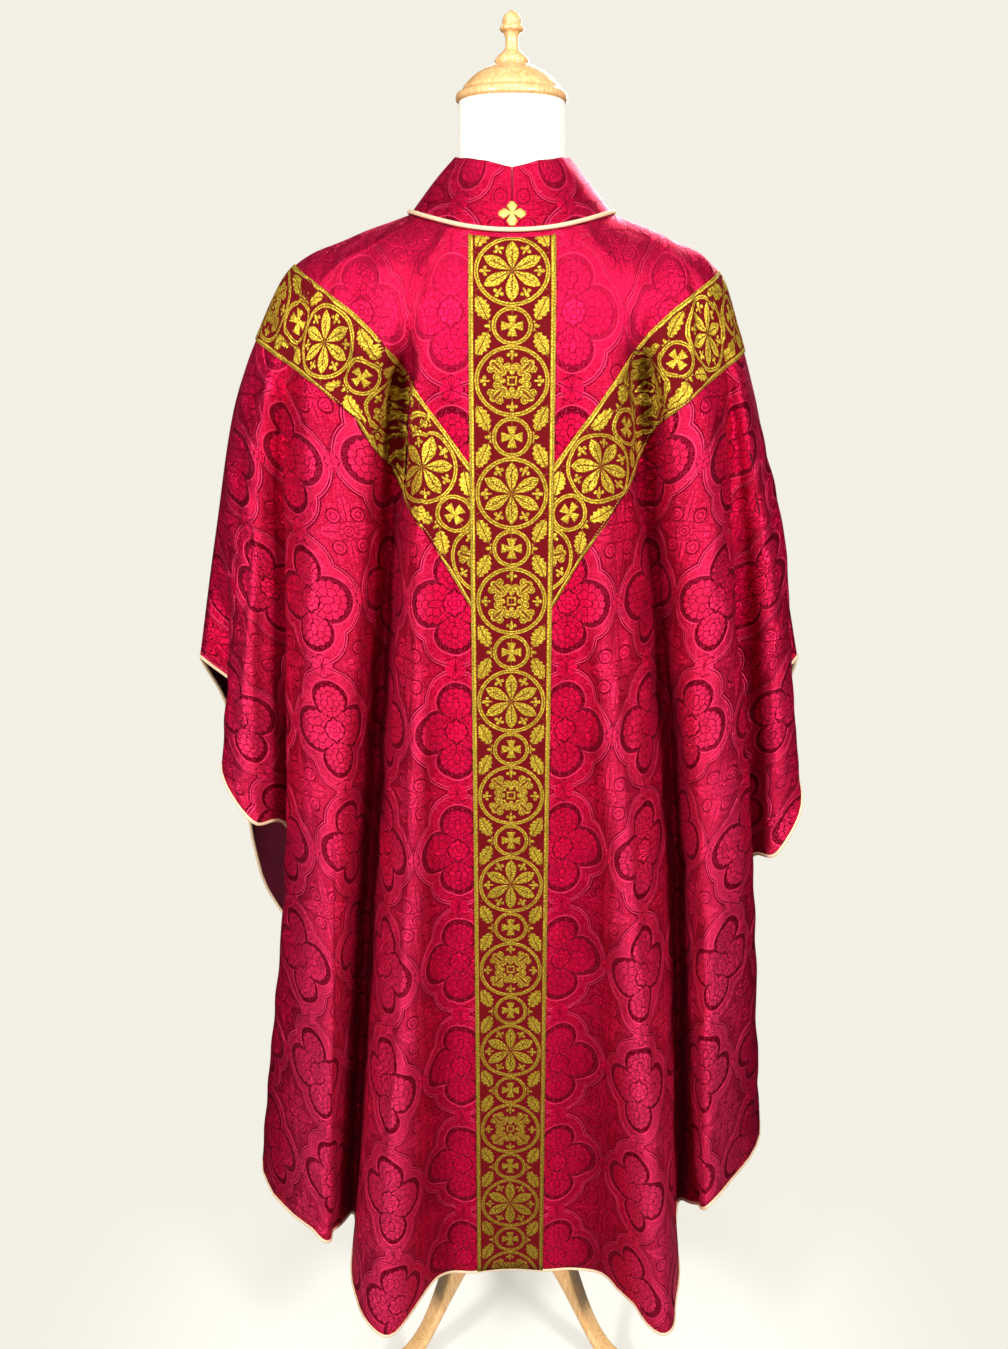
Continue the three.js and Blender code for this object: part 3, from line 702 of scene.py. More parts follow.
def damask_figure(across, down):
    """Masks of the damask: its shining figure, its half-tone bands, the deep gaps and the fine bright lines."""
    a = (across - MEDALLION_AT[0]).mirrored(HALF_WEFT)
    b = (down - MEDALLION_AT[1]).mirrored(HALF_WARP)
    middle = distance(a, b)

    side, top = distance(a - SIDE_LOBE["at"], b), distance(a, b - TOP_LOBE["at"])
    lobes = (side - SIDE_LOBE["reach"]).least(top - TOP_LOBE["reach"])
    frame = (distance(a - SIDE_FRAME["at"], b) - SIDE_FRAME["reach"]).least(
        distance(a, b - TOP_FRAME["at"]) - TOP_FRAME["reach"]
    )
    side_head, side_lines = peony(a - SIDE_LOBE["at"] + 2.5, b, SIDE_LOBE["reach"] - 3.8)
    top_head, top_lines = peony(b - TOP_LOBE["at"] + 2.5, a, TOP_LOBE["reach"] - 3.2)
    from_rose = inside(ROSE + 1 - middle)
    heads = inside(side_head.least(top_head)) * from_rose
    nearer_side = inside(side_head - top_head, 0.4)
    between_heads = line(side_head - top_head, 0, 1.1) * inside(side_head.most(top_head) - 0.5)
    head_lines = (side_lines * nearer_side + top_lines * (1 - nearer_side)) * heads
    rose_gap, rose_split = petal_row(*polar(a, b), 8, ROSE, 1.8)
    rose_row, rose_row_split = petal_row(*polar(a, b), 4, 7.2, 1.6)
    rose = inside(rose_gap)
    rose_lines = any_of(
        line(rose_split, 0, 0.4) * (1 - inside(rose_row - 0.6)),
        line(rose_row, 0, 0.45),
        line(middle, 2.4, 0.4),
        line(rose_row_split, 0, 0.35) * inside(rose_row) * inside(2.4 - middle),
    )

    x, y = HALF_WEFT - a, HALF_WARP - b
    radius, angle = polar(x, y)
    rosette_gap, rosette_split = petal_row(radius, angle, 8, 9.6, 1.8)
    rosette = inside(rosette_gap)
    rosette_lines = any_of(
        line(radius, 5.6, 0.45),
        line(radius, 2.6, 0.4),
        line(rosette_split, 0, 0.4) * inside(5.6 - radius),
    )
    leaf_gap, leaf_veins = acanthus_leaf(y, x, 11, 50, 0.22, 4.4)
    side_leaf_gap, side_leaf_veins = acanthus_leaf(x, y, 12, 39, 0.4, 4.8)
    bud = distance(x - 13.5, y - 17)
    from_bud = x - 13.5
    prongs = inside(from_bud.mirrored(1.35) - 0.6) * inside((y - 27).size() - 2.6) * inside(from_bud.size() - 5)
    pearls = inside(distance(x - 11, y - 7.6) - 1.6)
    free = inside(1.6 - frame)
    spray = any_of(rosette, inside(leaf_gap), inside(side_leaf_gap), inside(bud - 7), prongs, pearls) * free
    spray_lines = any_of(
        rosette * rosette_lines,
        leaf_veins * inside(leaf_gap),
        side_leaf_veins * inside(side_leaf_gap),
        line(bud, 3.6, 0.45),
        line(bud, 7.8, 0.7),
    )

    side_knot_gap = x * 0.8 + b * 0.46 - 6.9 + b.mirrored(3.2) * 0.45
    top_knot_gap, top_knot_split = petal_row(distance(a, y), y.maths("ARCTAN2", a), 8, 12.4, 3.4)
    side_knot, top_knot = inside(side_knot_gap), inside(top_knot_gap)
    knot_lines = any_of(
        side_knot * any_of(line(x, 0, 0.4), line((b - x * 0.8).mirrored(3.2), 0, 0.35)),
        top_knot * any_of(line(top_knot_split, 0, 0.4), line(a, 0, 0.35)),
        line(side_knot_gap, 0.9, 0.6),
        line(top_knot_gap, 0.9, 0.6),
    )
    knots = side_knot.most(top_knot)

    band = inside(1.2 - lobes) * inside(frame)
    scroll = (noise((across, down), 0.42, 1.0) - 0.5).maths("MULTIPLY", 5.0, clamp=True)
    strokes = inside((noise((a, b), 0.12, 1.5) * 7).mirrored(0.5) - 0.1, 0.14)
    fine_strokes = inside((noise((b, a), 0.2, 1.5) * 6).mirrored(0.5) - 0.1, 0.16)
    rails = any_of(line(lobes, 1.5, 0.55), line(frame, -0.6, 0.6), line(frame, -3.4, 0.55)) * (1 - knots)
    figure = any_of(heads, rose, spray, knots)
    rails = rails.most(strokes * (1 - figure) * 0.55)
    half_tone = band * (scroll * 0.4 + 0.35)
    gaps = any_of(
        inside(lobes) * (1 - heads) * (1 - rose),
        head_lines,
        between_heads * from_rose * inside(lobes),
        rose * rose_lines,
        spray_lines * free,
        knot_lines,
        line(frame, -2.0, 0.5) * band * (1 - knots),
        line(frame, 0.9, 0.7) * (1 - knots),
        fine_strokes * (heads.most(spray) * 0.75).most(band * 0.4),
    )
    return figure, half_tone, gaps, rails


# %% The damask cloth
GROUND = (0.34, 0.0, 0.016)
FIGURE = (0.76, 0.003, 0.056)
BRIGHT = (0.98, 0.05, 0.17)
DEEP = (0.09, 0.0, 0.004)
# painted light: a pale pink blended over the yoke above the chest, where the light from above falls
PAINTED_YOKE_LIGHT = (0.82, 0.012, 0.085)
PAINTED_YOKE_LIGHT_FROM = 100  # how far above the chest the painted light over the yoke is strongest and the figure faintest, in millimetres
SATIN_SHINE = {
    "Metallic": 0.72,
    "Specular IOR Level": 0.05,
    "Specular Tint": (1, 0.25, 0.4, 1),
    "Anisotropic": 0.8,
    "Anisotropic Rotation": 0.25,
    "Sheen Weight": 0.05,
    "Sheen Roughness": 0.35,
    "Sheen Tint": (1, 0.12, 0.3, 1),
}


def damask_material():
    material, shader, across, down = cloth_material("crimson damask")
    figure, half_tone, gaps, rails = damask_figure(across, down)
    floats = noise((across, down), 1.0, 2.0, stretch=(0.45, 1.5))
    slub = noise((across, down), 0.02, 3.0)
    satin = figure.most(half_tone)
    colour = blend(satin, GROUND, FIGURE)
    colour = blend(gaps * 0.92, colour, DEEP)
    colour = blend(rails * 0.85, colour, BRIGHT)
    # painted light: above the chest the cloth is blended towards a pale pink, which washes out the figure
    colour = blend(down.maths("MULTIPLY", -0.42 / PAINTED_YOKE_LIGHT_FROM, clamp=True).least(0.42), colour, PAINTED_YOKE_LIGHT)
    raised = (floats - 0.5).maths("MULTIPLY", 1.6, clamp=True)
    colour = blend(raised * (figure * 0.6 + 0.2), colour, BRIGHT)
    colour = blend((0.5 - floats).maths("MULTIPLY", 1.4, clamp=True), colour, DEEP)
    colour = blend((slub - 0.45).maths("MULTIPLY", 0.8, clamp=True), colour, DEEP)
    tree = material.node_tree
    # painted shade and painted highlight: the fold share darkens valleys towards deep red and brightens crests
    # towards bright pink
    fold = Field(tree, tree.nodes.new("ShaderNodeAttribute").outputs["Fac"])
    fold.socket.node.attribute_name = "fold"
    colour = blend(fold.maths("MULTIPLY", -0.6, clamp=True), colour, DEEP)
    crest = fold.maths("MULTIPLY", 0.7, clamp=True)
    colour = blend(crest * (satin * 0.7 + 0.3) * (1 - gaps), colour, BRIGHT)
    tree.links.new(colour.socket, shader.inputs["Base Color"])
    rough = 0.42 - satin * 0.14 + gaps * 0.1
    tree.links.new(rough.socket, shader.inputs["Roughness"])
    settle(shader, SATIN_SHINE)
    grain = tree.nodes.new("ShaderNodeTangent")
    grain.direction_type = "UV_MAP"
    grain.uv_map = "cloth"
    tree.links.new(grain.outputs["Tangent"], shader.inputs["Tangent"])
    weave = (across.mirrored(0.42) + down.mirrored(0.3)) * 0.35
    raise_by(shader, satin * 0.8 + rails * 0.4 - gaps * 0.8 + weave + floats * 0.5, 0.0006)
    return material


def reverse_material():
    """The wrong side of the damask: plain and dull. Its darkness is partly its own colour and partly painted
    shade for the garment's inside.
    """
    material, shader, across, down = cloth_material("plain maroon reverse")
    mottle = noise((across, down), 0.05, 3.0)
    # partly painted shade: the reverse's own maroon is darkened further for the shaded inside of the garment
    colour = blend(mottle, (0.035, 0.0, 0.005), (0.07, 0.0, 0.009))
    material.node_tree.links.new(colour.socket, shader.inputs["Base Color"])
    settle(shader, {"Roughness": 0.8, "Specular IOR Level": 0.15})
    raise_by(shader, across.mirrored(0.6) + down.mirrored(0.6), 0.0004)
    return material


damask = damask_material()
reverse = reverse_material()
print("nodes in the damask:", len(damask.node_tree.nodes))


# %% [markdown]
# ## Panels with a real thickness
#
# Cloth that is only a surface shows its own back through thin edges and casts odd shadows. Each panel is
# therefore a closed wall: the outer points, the same points moved in by the cloth's thickness, and a rim
# that joins them. The outside takes the damask and everything else its plain reverse.


# %% From a sheet of points to a wall
def cloth_wall(name, sheet, near, far, outside, inside_material, lengths=None):
    """A closed wall between two distances out from a sheet. Its UV map holds the lengths in metres."""
    points, normals = sheet["points"], sheet["normals"]
    lengths = sheet["lengths"] if lengths is None else lengths
    index = np.arange(points.shape[0] * points.shape[1]).reshape(points.shape[:2])
    outer = np.stack([index[:-1, :-1], index[1:, :-1], index[1:, 1:], index[:-1, 1:]], -1).reshape(-1, 4)
    border = np.concatenate([index[:, 0], index[-1, 1:], index[-2::-1, -1], index[0, -2:0:-1]])
    after = np.roll(border, -1)
    rim = np.stack([after, border, border + index.size, after + index.size], -1)
    corner = np.cross(points[1:, :-1] - points[:-1, :-1], points[:-1, 1:] - points[:-1, :-1])
    if np.sum(corner * normals[:-1, :-1]) < 0:
        outer, rim = outer[:, ::-1], rim[:, ::-1]
    faces = np.concatenate([outer, outer[:, ::-1] + index.size, rim])
    flat = np.concatenate([points + normals * far, points + normals * near]).reshape(-1, 3)
    flat[:, 0] += CENTRE_SHIFT
    mesh = bpy.data.meshes.new(name)
    mesh.from_pydata((flat * MM).tolist(), [], faces.tolist())
    for material in (outside, inside_material):
        mesh.materials.append(material)
    mesh.polygons.foreach_set("material_index", np.repeat([0, 1], [len(outer), len(faces) - len(outer)]))
    mesh.polygons.foreach_set("use_smooth", np.ones(len(faces), bool))
    both = np.tile(lengths.reshape(-1, 2), (2, 1)) * MM
    mesh.uv_layers.new(name="cloth").data.foreach_set("uv", both[faces.reshape(-1)].reshape(-1))
    # the fold share, which the damask uses for painted shade in valleys and a painted highlight on crests
    if "fold" in sheet:
        fold = mesh.attributes.new("fold", "FLOAT", "POINT")
        fold.data.foreach_set("value", np.tile(sheet["fold"].reshape(-1), 2))
    mesh.update()
    return placed(name, mesh)


def cloth_area(sheet):
    """Area in square metres and the longest run across and down, in metres."""
    p = sheet["points"] * MM
    a, b = np.diff(p, axis=0)[:, :-1], np.diff(p, axis=1)[:-1]
    area = np.linalg.norm(np.cross(a, b), axis=2).sum()
    wide = np.ptp(sheet["lengths"][..., 0]) * MM
    long = np.ptp(sheet["lengths"][..., 1]) * MM
    return float(area), float(wide), float(long)


def finished(piece, *nodes, slot):
    """The piece rides with the part and stands for these solids. The slot is not used."""
    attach(piece, BODY)
    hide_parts(*nodes)
    return piece


# %% The two panels
back_cloth = finished(cloth_wall("back_cloth", back, -CLOTH, 0, damask, reverse), "back_panel", slot="damask")
front_cloth = finished(cloth_wall("front_cloth", front, -CLOTH, 0, damask, reverse), "front_panel", slot="damask")
print("back panel, area and runs across and down:", [round(v, 3) for v in cloth_area(back)])
print("front panel:", [round(v, 3) for v in cloth_area(front)])

# %% [markdown]
# ## The galloon
#
# Galloon is a narrow woven band, sewn on whole. Along its middle runs a chain of circles: a six-petalled
# star, a small cross, a rosette of four leaves, a small cross, and round again. Acanthus leaves fill the
# corners, and a solid gold stripe closes each edge. Again one quarter of the repeat is enough. The
# petals, sprigs and leaves are each drawn once along their own axis, and the axis is turned to where
# they stand.

# %% The figure of the galloon, in millimetres
HALF_REPEAT = 114.9
BIG_RING, SMALL_RING = 35.4, 18.2
PETAL_LONG, PETAL_WIDE = 31, 6.0


def petal(along, across):
    """Signed gap to a pointed petal that is widest a little beyond its middle."""
    share = ((along - 1) / PETAL_LONG).maths("ADD", 0.0, clamp=True)
    return across - share * (1 - share) * (share * 0.9 + 0.55) * (4 * PETAL_WIDE)


def sprig(along, across, shift=0.0):
    """Signed gap to a small three-lobed flower on a stem."""
    along = along - shift
    tip = oval(along, across, 28.8, 4.0, 1.9)
    sides = distance(along - 26.4, across - 3.8) - 1.8
    stem = oval(along, across, 23.6, 2.4, 1.1)
    return tip.least(sides).least(stem)


def galloon_figure(across, along):
    """The gold of the galloon, its thread-thin gaps, and where its thread is speckled with dark."""
    a = across.size()
    b = along.mirrored(HALF_REPEAT)
    star_ring = distance(a, b)
    slant, slant_off = turned_axes(a, b, 30)
    petals = petal(b, a).least(petal(slant, slant_off))
    steep, steep_off = turned_axes(a, b, 60)
    sprigs = sprig(a, b).least(sprig(steep, steep_off))

    d = HALF_REPEAT - b
    leaf_ring = distance(a, d)
    diagonal, off = turned_axes(a, d, 45)
    leaf = oval(diagonal, off, 19.5, 10.5, 5.6)
    leaf = leaf.least(distance(diagonal - 13.2, off - 7.2) - 4.4)
    leaf = leaf.least(distance(diagonal - 23.6, off - 6.0) - 3.9)
    slit = oval(diagonal, off, 21, 7, 1.5)
    knot = (a.most(d) - 3.9).size() - 0.9
    buds = (distance(a, d - 9.2) - 2.6).least(distance(a - 9.2, d) - 2.6)
    corner_sprigs = sprig(a, d, 1.0).least(sprig(d, a, 1.0))

    c = (b - HALF_REPEAT / 2).size()
    small = distance(a, c)
    upright = (a - c * 0.34 - 1.3).most(c - 10.6)
    level = (c - a * 0.34 - 1.3).most(a - 10.6)
    cross = upright.least(level)
    blade, blade_off = (a - 29.4) * 0.42 + (c - 18.5) * 0.91, ((a - 29.4) * 0.91 - (c - 18.5) * 0.42).size()
    acanthus = blade_off - 8.2 + blade * blade * 0.034 + blade.mirrored(2.6) * 0.9
    acanthus_vein = blade_off - 0.5
    outward = sprig(a, c, -5.6) * 1.25

    free = inside(38.6 - star_ring).least(inside(38.6 - leaf_ring)).least(inside(21.6 - small))
    chain = ((star_ring, BIG_RING), (leaf_ring, BIG_RING), (small, SMALL_RING))
    rings = any_of(*(inside((radius - at).size() - 2.0) for radius, at in chain))
    ring_gap = any_of(*(line(radius, at, 0.35) for radius, at in chain))
    border = inside(38.3 - a)
    gold = any_of(
        inside(petals), inside(sprigs) * inside(star_ring - 32), inside(leaf), inside(knot), inside(buds),
        inside(corner_sprigs) * inside(leaf_ring - 32), inside(cross), inside(acanthus) * free,
        inside(outward) * free,
    )
    gold = any_of(gold * inside(a - 36.6), rings, border)
    ribs = any_of(line(a, 0, 0.5) * inside(b - 24), line(slant_off, 0, 0.5) * inside(slant - 24))
    gaps = any_of(
        ring_gap * (1 - border),
        inside(slit),
        line(leaf, -1.6, 0.35),
        line(a, 41.2, 0.3),
        line(a, 37.8, 0.45),
        inside(acanthus_vein) * free * inside(acanthus),
        ribs * inside(petals),
    )
    speckled = inside(petals + 1.5, 1.2)
    return gold, gaps, speckled


# %% The galloon's thread
GOLD_THREAD = (0.36, 0.23, 0.015)
PALE_THREAD = (0.82, 0.66, 0.08)
DARK_RED = (0.11, 0.002, 0.006)
SHADE_GOLD = (0.07, 0.022, 0.003)
PAINTED_SHADE_FROM, PAINTED_SHADE_RUN = 250, 700  # painted shade: the gold is duller down the pillar, from this far along the band and over this length of it


def galloon_material():
    material, shader, across, along = cloth_material("gold and dark red galloon")
    gold, gaps, speckled = galloon_figure(across, along)
    picks = noise((across, along), 0.62, 1.5, stretch=(0.8, 1.1))
    wear = noise((across, along), 0.03, 2.0)
    thread = blend((picks - 0.5).maths("MULTIPLY", 6.0, clamp=True), GOLD_THREAD, PALE_THREAD)
    sunk = (0.47 - picks).maths("MULTIPLY", 6.0, clamp=True)
    thread = blend(sunk * (speckled * 0.6 + 0.4), thread, SHADE_GOLD)
    thread = blend((wear - 0.5).maths("MULTIPLY", 0.9, clamp=True), thread, SHADE_GOLD)
    # painted shade: the gold darkens down the pillar, where less light falls
    painted_gold_shade = ((along - PAINTED_SHADE_FROM) / PAINTED_SHADE_RUN).maths("ADD", 0.0, clamp=True)
    thread = blend(painted_gold_shade * 0.5, thread, SHADE_GOLD)
    colour = blend(gold, DARK_RED, thread)
    colour = blend(gaps * 0.9, colour, DARK_RED)
    tree = material.node_tree
    tree.links.new(colour.socket, shader.inputs["Base Color"])
    shown = gold * (1 - gaps)
    tree.links.new((shown * 0.45).socket, shader.inputs["Metallic"])
    tree.links.new((0.7 - shown * 0.3).socket, shader.inputs["Roughness"])
    settle(shader, {"Specular IOR Level": 0.08, "Specular Tint": (1, 0.72, 0.25, 1)})
    raise_by(shader, shown * 1.0 + picks * 0.5 + along.mirrored(0.4) * 0.5, 0.0005)
    return material


galloon = galloon_material()
print("nodes in the galloon:", len(galloon.node_tree.nodes))

# %% [markdown]
# The pillar runs down the middle of each panel between two fold rows that were placed at its edges, so
# it is cut from the panel's own columns and lifted by a hair. Its lengths are those of the cloth,
# shifted so that the chain of circles begins at a star.

# %% The pillars
BAND_LIFT, BAND = 0.35, 1.2
PILLAR_START_ROW = 2
FIRST_STAR = 88  # warp length of a star's centre
YOKE_EASE = 1.1  # the band is eased in over the shoulders, so its motifs stand closer there


def pillar(name, sheet, node):
    rows = [row[1][0] for row in sheet["folds"]]
    first, last = (rows.index(x) * RIBS_PER_FOLD for x in (-HALF_BAND, HALF_BAND))
    part = {key: sheet[key][first : last + 1, PILLAR_START_ROW:] for key in ("points", "normals", "lengths")}
    warp = part["lengths"][..., 1]
    eased = np.where(warp < 0, warp * YOKE_EASE, warp)
    lengths = np.stack([part["points"][..., 0], eased - FIRST_STAR], axis=-1)
    piece = cloth_wall(name, part, BAND_LIFT, BAND_LIFT + BAND, galloon, galloon, lengths)
    return finished(piece, node, slot="galloon"), part


back_pillar, back_pillar_sheet = pillar("back_galloon", back, "back_pillar")
front_pillar, front_pillar_sheet = pillar("front_galloon", front, "front_pillar")

# %% [markdown]
# The arms of the Y cross the ribs at a slant, so they can't be cut from columns. The two edges of each
# arm are known as seen square on to the panel. Each point of the band is looked up on the panel: the
# nearest point of the sheet first, and then a few steps of Newton's method on the sheet's own grid. The
# band then follows every fold that it crosses.

# %% Looking up a place on a sheet
# how far across from the centre line, and the heights of the band's upper and lower edge there
ARM_EDGES = [
    (43, 1272, 1120),
    (90, 1335, 1200),
    (120, 1379, 1240),
    (140, 1403, 1276),
    (160, 1421, 1315),
    (200, 1449, 1348),
    (235, 1472, 1370),
    (310, 1504, 1412),
]
ARM_COLUMNS, ARM_ROWS = 150, 30
ROWS_SEARCHED = CHEST_ROW + 40  # the arms lie above this row of a panel
NEWTON_STEPS = 6


def bilinear(grid, place):
    """Values of a grid at fractional places (column, row)."""
    top = np.array(grid.shape[:2]) - 2
    cell = np.clip(place.astype(int), 0, top)
    w = place - cell
    i, j = cell[..., 0], cell[..., 1]
    u, v = w[..., :1], w[..., 1:]
    near = grid[i, j] * (1 - u) + grid[i + 1, j] * u
    far = grid[i, j + 1] * (1 - u) + grid[i + 1, j + 1] * u
    return near * (1 - v) + far * v


def find_on_sheet(sheet, targets):
    """Places on the sheet's grid whose x and z are the targets, for its upper part."""
    flat = sheet["points"][:, :ROWS_SEARCHED][..., [0, 2]]
    tree = kdtree.KDTree(flat.shape[0] * flat.shape[1])
    for k, (x, z) in enumerate(flat.reshape(-1, 2)):
        tree.insert((x, z, 0), k)
    tree.balance()
    nearest = np.array([tree.find((x, z, 0))[1] for x, z in targets.reshape(-1, 2)])
    place = np.stack(np.divmod(nearest, ROWS_SEARCHED), axis=-1).astype(float).reshape(targets.shape)
    high = np.array(flat.shape[:2]) - 1.001
    for _ in range(NEWTON_STEPS):
        here = bilinear(flat, place)
        to_column = bilinear(flat, np.minimum(place + [0.5, 0], high + 0.5)) - here
        to_row = bilinear(flat, np.minimum(place + [0, 0.5], high + 0.5)) - here
        miss = targets - here
        det = to_column[..., 0] * to_row[..., 1] - to_column[..., 1] * to_row[..., 0]
        det = np.where(np.abs(det) < 1e-6, 1e-6, det)
        step_u = (miss[..., 0] * to_row[..., 1] - miss[..., 1] * to_row[..., 0]) / det * 0.5
        step_v = (to_column[..., 0] * miss[..., 1] - to_column[..., 1] * miss[..., 0]) / det * 0.5
        place = np.clip(place + np.clip(np.stack([step_u, step_v], -1), -2, 2), 0, high)
    return place


# %% The arms
STAR_X = 91  # across to the first star's centre on an arm
ARM_EASE = 1.15  # past that star the band is eased in over the shoulder
SEAM_GUESS, SEAM_STEPS = 250.0, 20  # where the search for the shoulder seam starts, and its steps


def arm_outline():
    """Heights of the lower and upper edge of an arm for any x."""
    rows = np.array(ARM_EDGES, float)
    return lambda x: np.interp(x, rows[:, 0], rows[:, 2]), lambda x: np.interp(x, rows[:, 0], rows[:, 1])


def seam_x(sheet, side, height):
    """x of the shoulder seam at a height."""
    column = sheet["points"][0 if side < 0 else -1]
    return np.interp(-height, -column[:, 2], np.abs(column[:, 0]))


def arm_sheet(sheet, side):
    """The arm as a sheet of its own, with lengths across and along the band."""
    lower, upper = arm_outline()
    start = HALF_BAND + SEAM_GAP
    share = np.linspace(0, 1, ARM_ROWS + 1)
    ends = []
    for v in share:
        x = SEAM_GUESS
        for _ in range(SEAM_STEPS):
            x = float(seam_x(sheet, side, lower(x) + (upper(x) - lower(x)) * v))
        ends.append(x - SEAM_GAP / 2)
    along = np.linspace(0, 1, ARM_COLUMNS + 1)
    x = start + (np.array(ends)[None, :] - start) * along[:, None]
    z = lower(x) + (upper(x) - lower(x)) * share[None, :]
    place = find_on_sheet(sheet, np.stack([side * x, z], axis=-1))
    part = {key: bilinear(sheet[key], place) for key in ("points", "normals", "lengths")}
    part["normals"] = unit(part["normals"])
    flat = part["lengths"]
    middle = flat[:, ARM_ROWS // 2]
    run = np.concatenate([[0], np.cumsum(np.linalg.norm(np.diff(middle, axis=0), axis=1))])
    tangent = unit(np.gradient(middle, axis=0))
    gap = flat[:, :, None, :] - middle[None, None, :, :]
    foot = np.argmin(np.linalg.norm(gap, axis=-1), axis=-1)
    off = np.take_along_axis(gap, foot[..., None, None], axis=2)[:, :, 0]
    t = tangent[foot]
    straight = run[foot] + np.sum(off * t, axis=-1)
    across = off[..., 1] * t[..., 0] - off[..., 0] * t[..., 1]
    half = np.maximum(np.abs(across[:, [0]]), np.abs(across[:, [-1]]))
    past_star = straight - np.interp(STAR_X, x[:, ARM_ROWS // 2], run)
    eased = np.where(past_star > 0, past_star * ARM_EASE, past_star)
    part["lengths"] = np.stack([across / np.where(half > 1, half, 1) * HALF_BAND, eased], axis=-1)
    return part


arms = {}
for hand, side in (("left", -1), ("right", 1)):
    for place, sheet in (("back", back), ("front", front)):
        arm = arms[place, hand] = arm_sheet(sheet, side)
        piece = cloth_wall(f"{place}_galloon_{hand}", arm, BAND_LIFT, BAND_LIFT + BAND, galloon, galloon)
        finished(piece, f"{place}_arm_{hand}", slot="galloon")
print("arm, metres along the band:", round(float(np.ptp(arms['back', 'left']['lengths'][..., 1])) * MM, 3))

# %% [markdown]
# ## The collar
#
# The collar is cut as two curved halves that meet in a seam at the centre back, with a small dip at the
# top where they part. It leans in towards the neck. Rings from the neck seam to the top edge give its
# shape, as they do on the yoke, and the damask stands upright on it.

# %% Collar halves
COLLAR = [
    ring_row(107, 107, 1519.8, 1495.8, 1468.8, 107, 98, 2),  # seam
    ring_row(82, 82, 1551, 1525, 1505, 91, 84, 2),  # waist
    ring_row(61, 61, 1573, 1562, 1543, 74, 71, 2),  # top
]
NOTCH_DEPTH, NOTCH_HALF = 5, 26
COLLAR_COLUMNS, COLLAR_ROWS = 90, 36


def collar_sheet(side):
    turn = np.linspace(0, math.pi, COLLAR_COLUMNS + 1)
    face = np.where(turn < math.pi / 2, -1, 1)
    rings = []
    for ring in COLLAR:
        across = ring["left"] * np.sin(turn)
        behind, ahead = (on_ring(ring, across, np.full_like(turn, side), way) for way in (-1, 1))
        rings.append(np.where((face < 0)[:, None], behind, ahead))
    v = np.linspace(0, 1, COLLAR_ROWS + 1)
    rows = through(np.stack(rings).reshape(len(COLLAR), -1), v * (len(COLLAR) - 1))
    points = rows.reshape(len(v), len(turn), 3).transpose(1, 0, 2).copy()
    points[..., 2] -= v * NOTCH_DEPTH * np.maximum(0, 1 - np.abs(points[..., 0]) / NOTCH_HALF)
    points[..., 0] += side * SEAM_GAP / 2
    normals = unit(side * np.cross(np.gradient(points, axis=0), np.gradient(points, axis=1)))
    ripple = 0.9 * np.sin(turn * 7 + 0.6 + side)[:, None] * np.sin(math.pi * v)[None, :]
    ripple += 0.7 * np.sin(turn * 13 + 2 * side)[:, None] * (v**2)[None, :] * np.sin(turn)[:, None]
    points = points + normals * (ripple * np.minimum(1, turn * 4)[:, None])[..., None]
    around = np.concatenate([[0], np.cumsum(np.linalg.norm(np.diff(points[:, 10], axis=0), axis=1))])
    upward = np.concatenate([[0], np.cumsum(np.linalg.norm(np.diff(points[20], axis=0), axis=1))])
    lengths = np.stack(np.meshgrid(side * around, 8 - upward, indexing="ij"), axis=-1)
    normals[[0, -1], :, 0] = 0
    return dict(points=points, normals=unit(normals), lengths=lengths)


collars = {hand: collar_sheet(side) for hand, side in (("left", -1), ("right", 1))}
for hand, sheet in collars.items():
    piece = cloth_wall(f"collar_cloth_{hand}", sheet, -CLOTH, 0, damask, reverse)
    finished(piece, f"collar_{hand}", slot="damask")
    area, wide, long = cloth_area(sheet)
    print("collar half, area:", round(area, 4))

# %% [markdown]
# ## Cords and stitches
#
# Two things follow a path here. A cream cord fills the neck seam and another binds the hem; and a row of
# stitches holds each edge of the galloon. Geometry Nodes suit both. One tree sweeps a round profile
# along a path. The other sets a small stitch at even steps along it. Both end in plain meshes that keep
# their material.


# %% Node trees for cords and for stitches
def new_tree(name, **sockets):
    """A tree with named inputs of the kinds given, and its group input and output nodes."""
    tree = bpy.data.node_groups.new(name, "GeometryNodeTree")
    tree.interface.new_socket("Geometry", in_out="INPUT", socket_type="NodeSocketGeometry")
    for label, kind in sockets.items():
        tree.interface.new_socket(label, in_out="INPUT", socket_type="NodeSocket" + kind)
    tree.interface.new_socket("Geometry", in_out="OUTPUT", socket_type="NodeSocketGeometry")
    return tree, tree.nodes.new("NodeGroupInput"), tree.nodes.new("NodeGroupOutput")


def cord_tree():
    tree, given, made = new_tree("cord along a path", Radius="Float", Sides="Int", Cover="Material")
    path = tree.nodes.new("GeometryNodeMeshToCurve")
    ring = tree.nodes.new("GeometryNodeCurvePrimitiveCircle")
    sweep = tree.nodes.new("GeometryNodeCurveToMesh")
    smooth = tree.nodes.new("GeometryNodeSetShadeSmooth")
    whole = tree.nodes.new("GeometryNodeRealizeInstances")
    cover = tree.nodes.new("GeometryNodeSetMaterial")
    link = tree.links.new
    link(given.outputs["Geometry"], path.inputs["Mesh"])
    link(given.outputs["Radius"], ring.inputs["Radius"])
    link(given.outputs["Sides"], ring.inputs["Resolution"])
    link(path.outputs["Curve"], sweep.inputs["Curve"])
    link(ring.outputs["Curve"], sweep.inputs["Profile Curve"])
    link(sweep.outputs["Mesh"], smooth.inputs["Geometry"])
    link(smooth.outputs["Geometry"], whole.inputs["Geometry"])
    link(whole.outputs["Geometry"], cover.inputs["Geometry"])
    link(given.outputs["Cover"], cover.inputs["Material"])
    link(cover.outputs["Geometry"], made.inputs["Geometry"])
    return tree


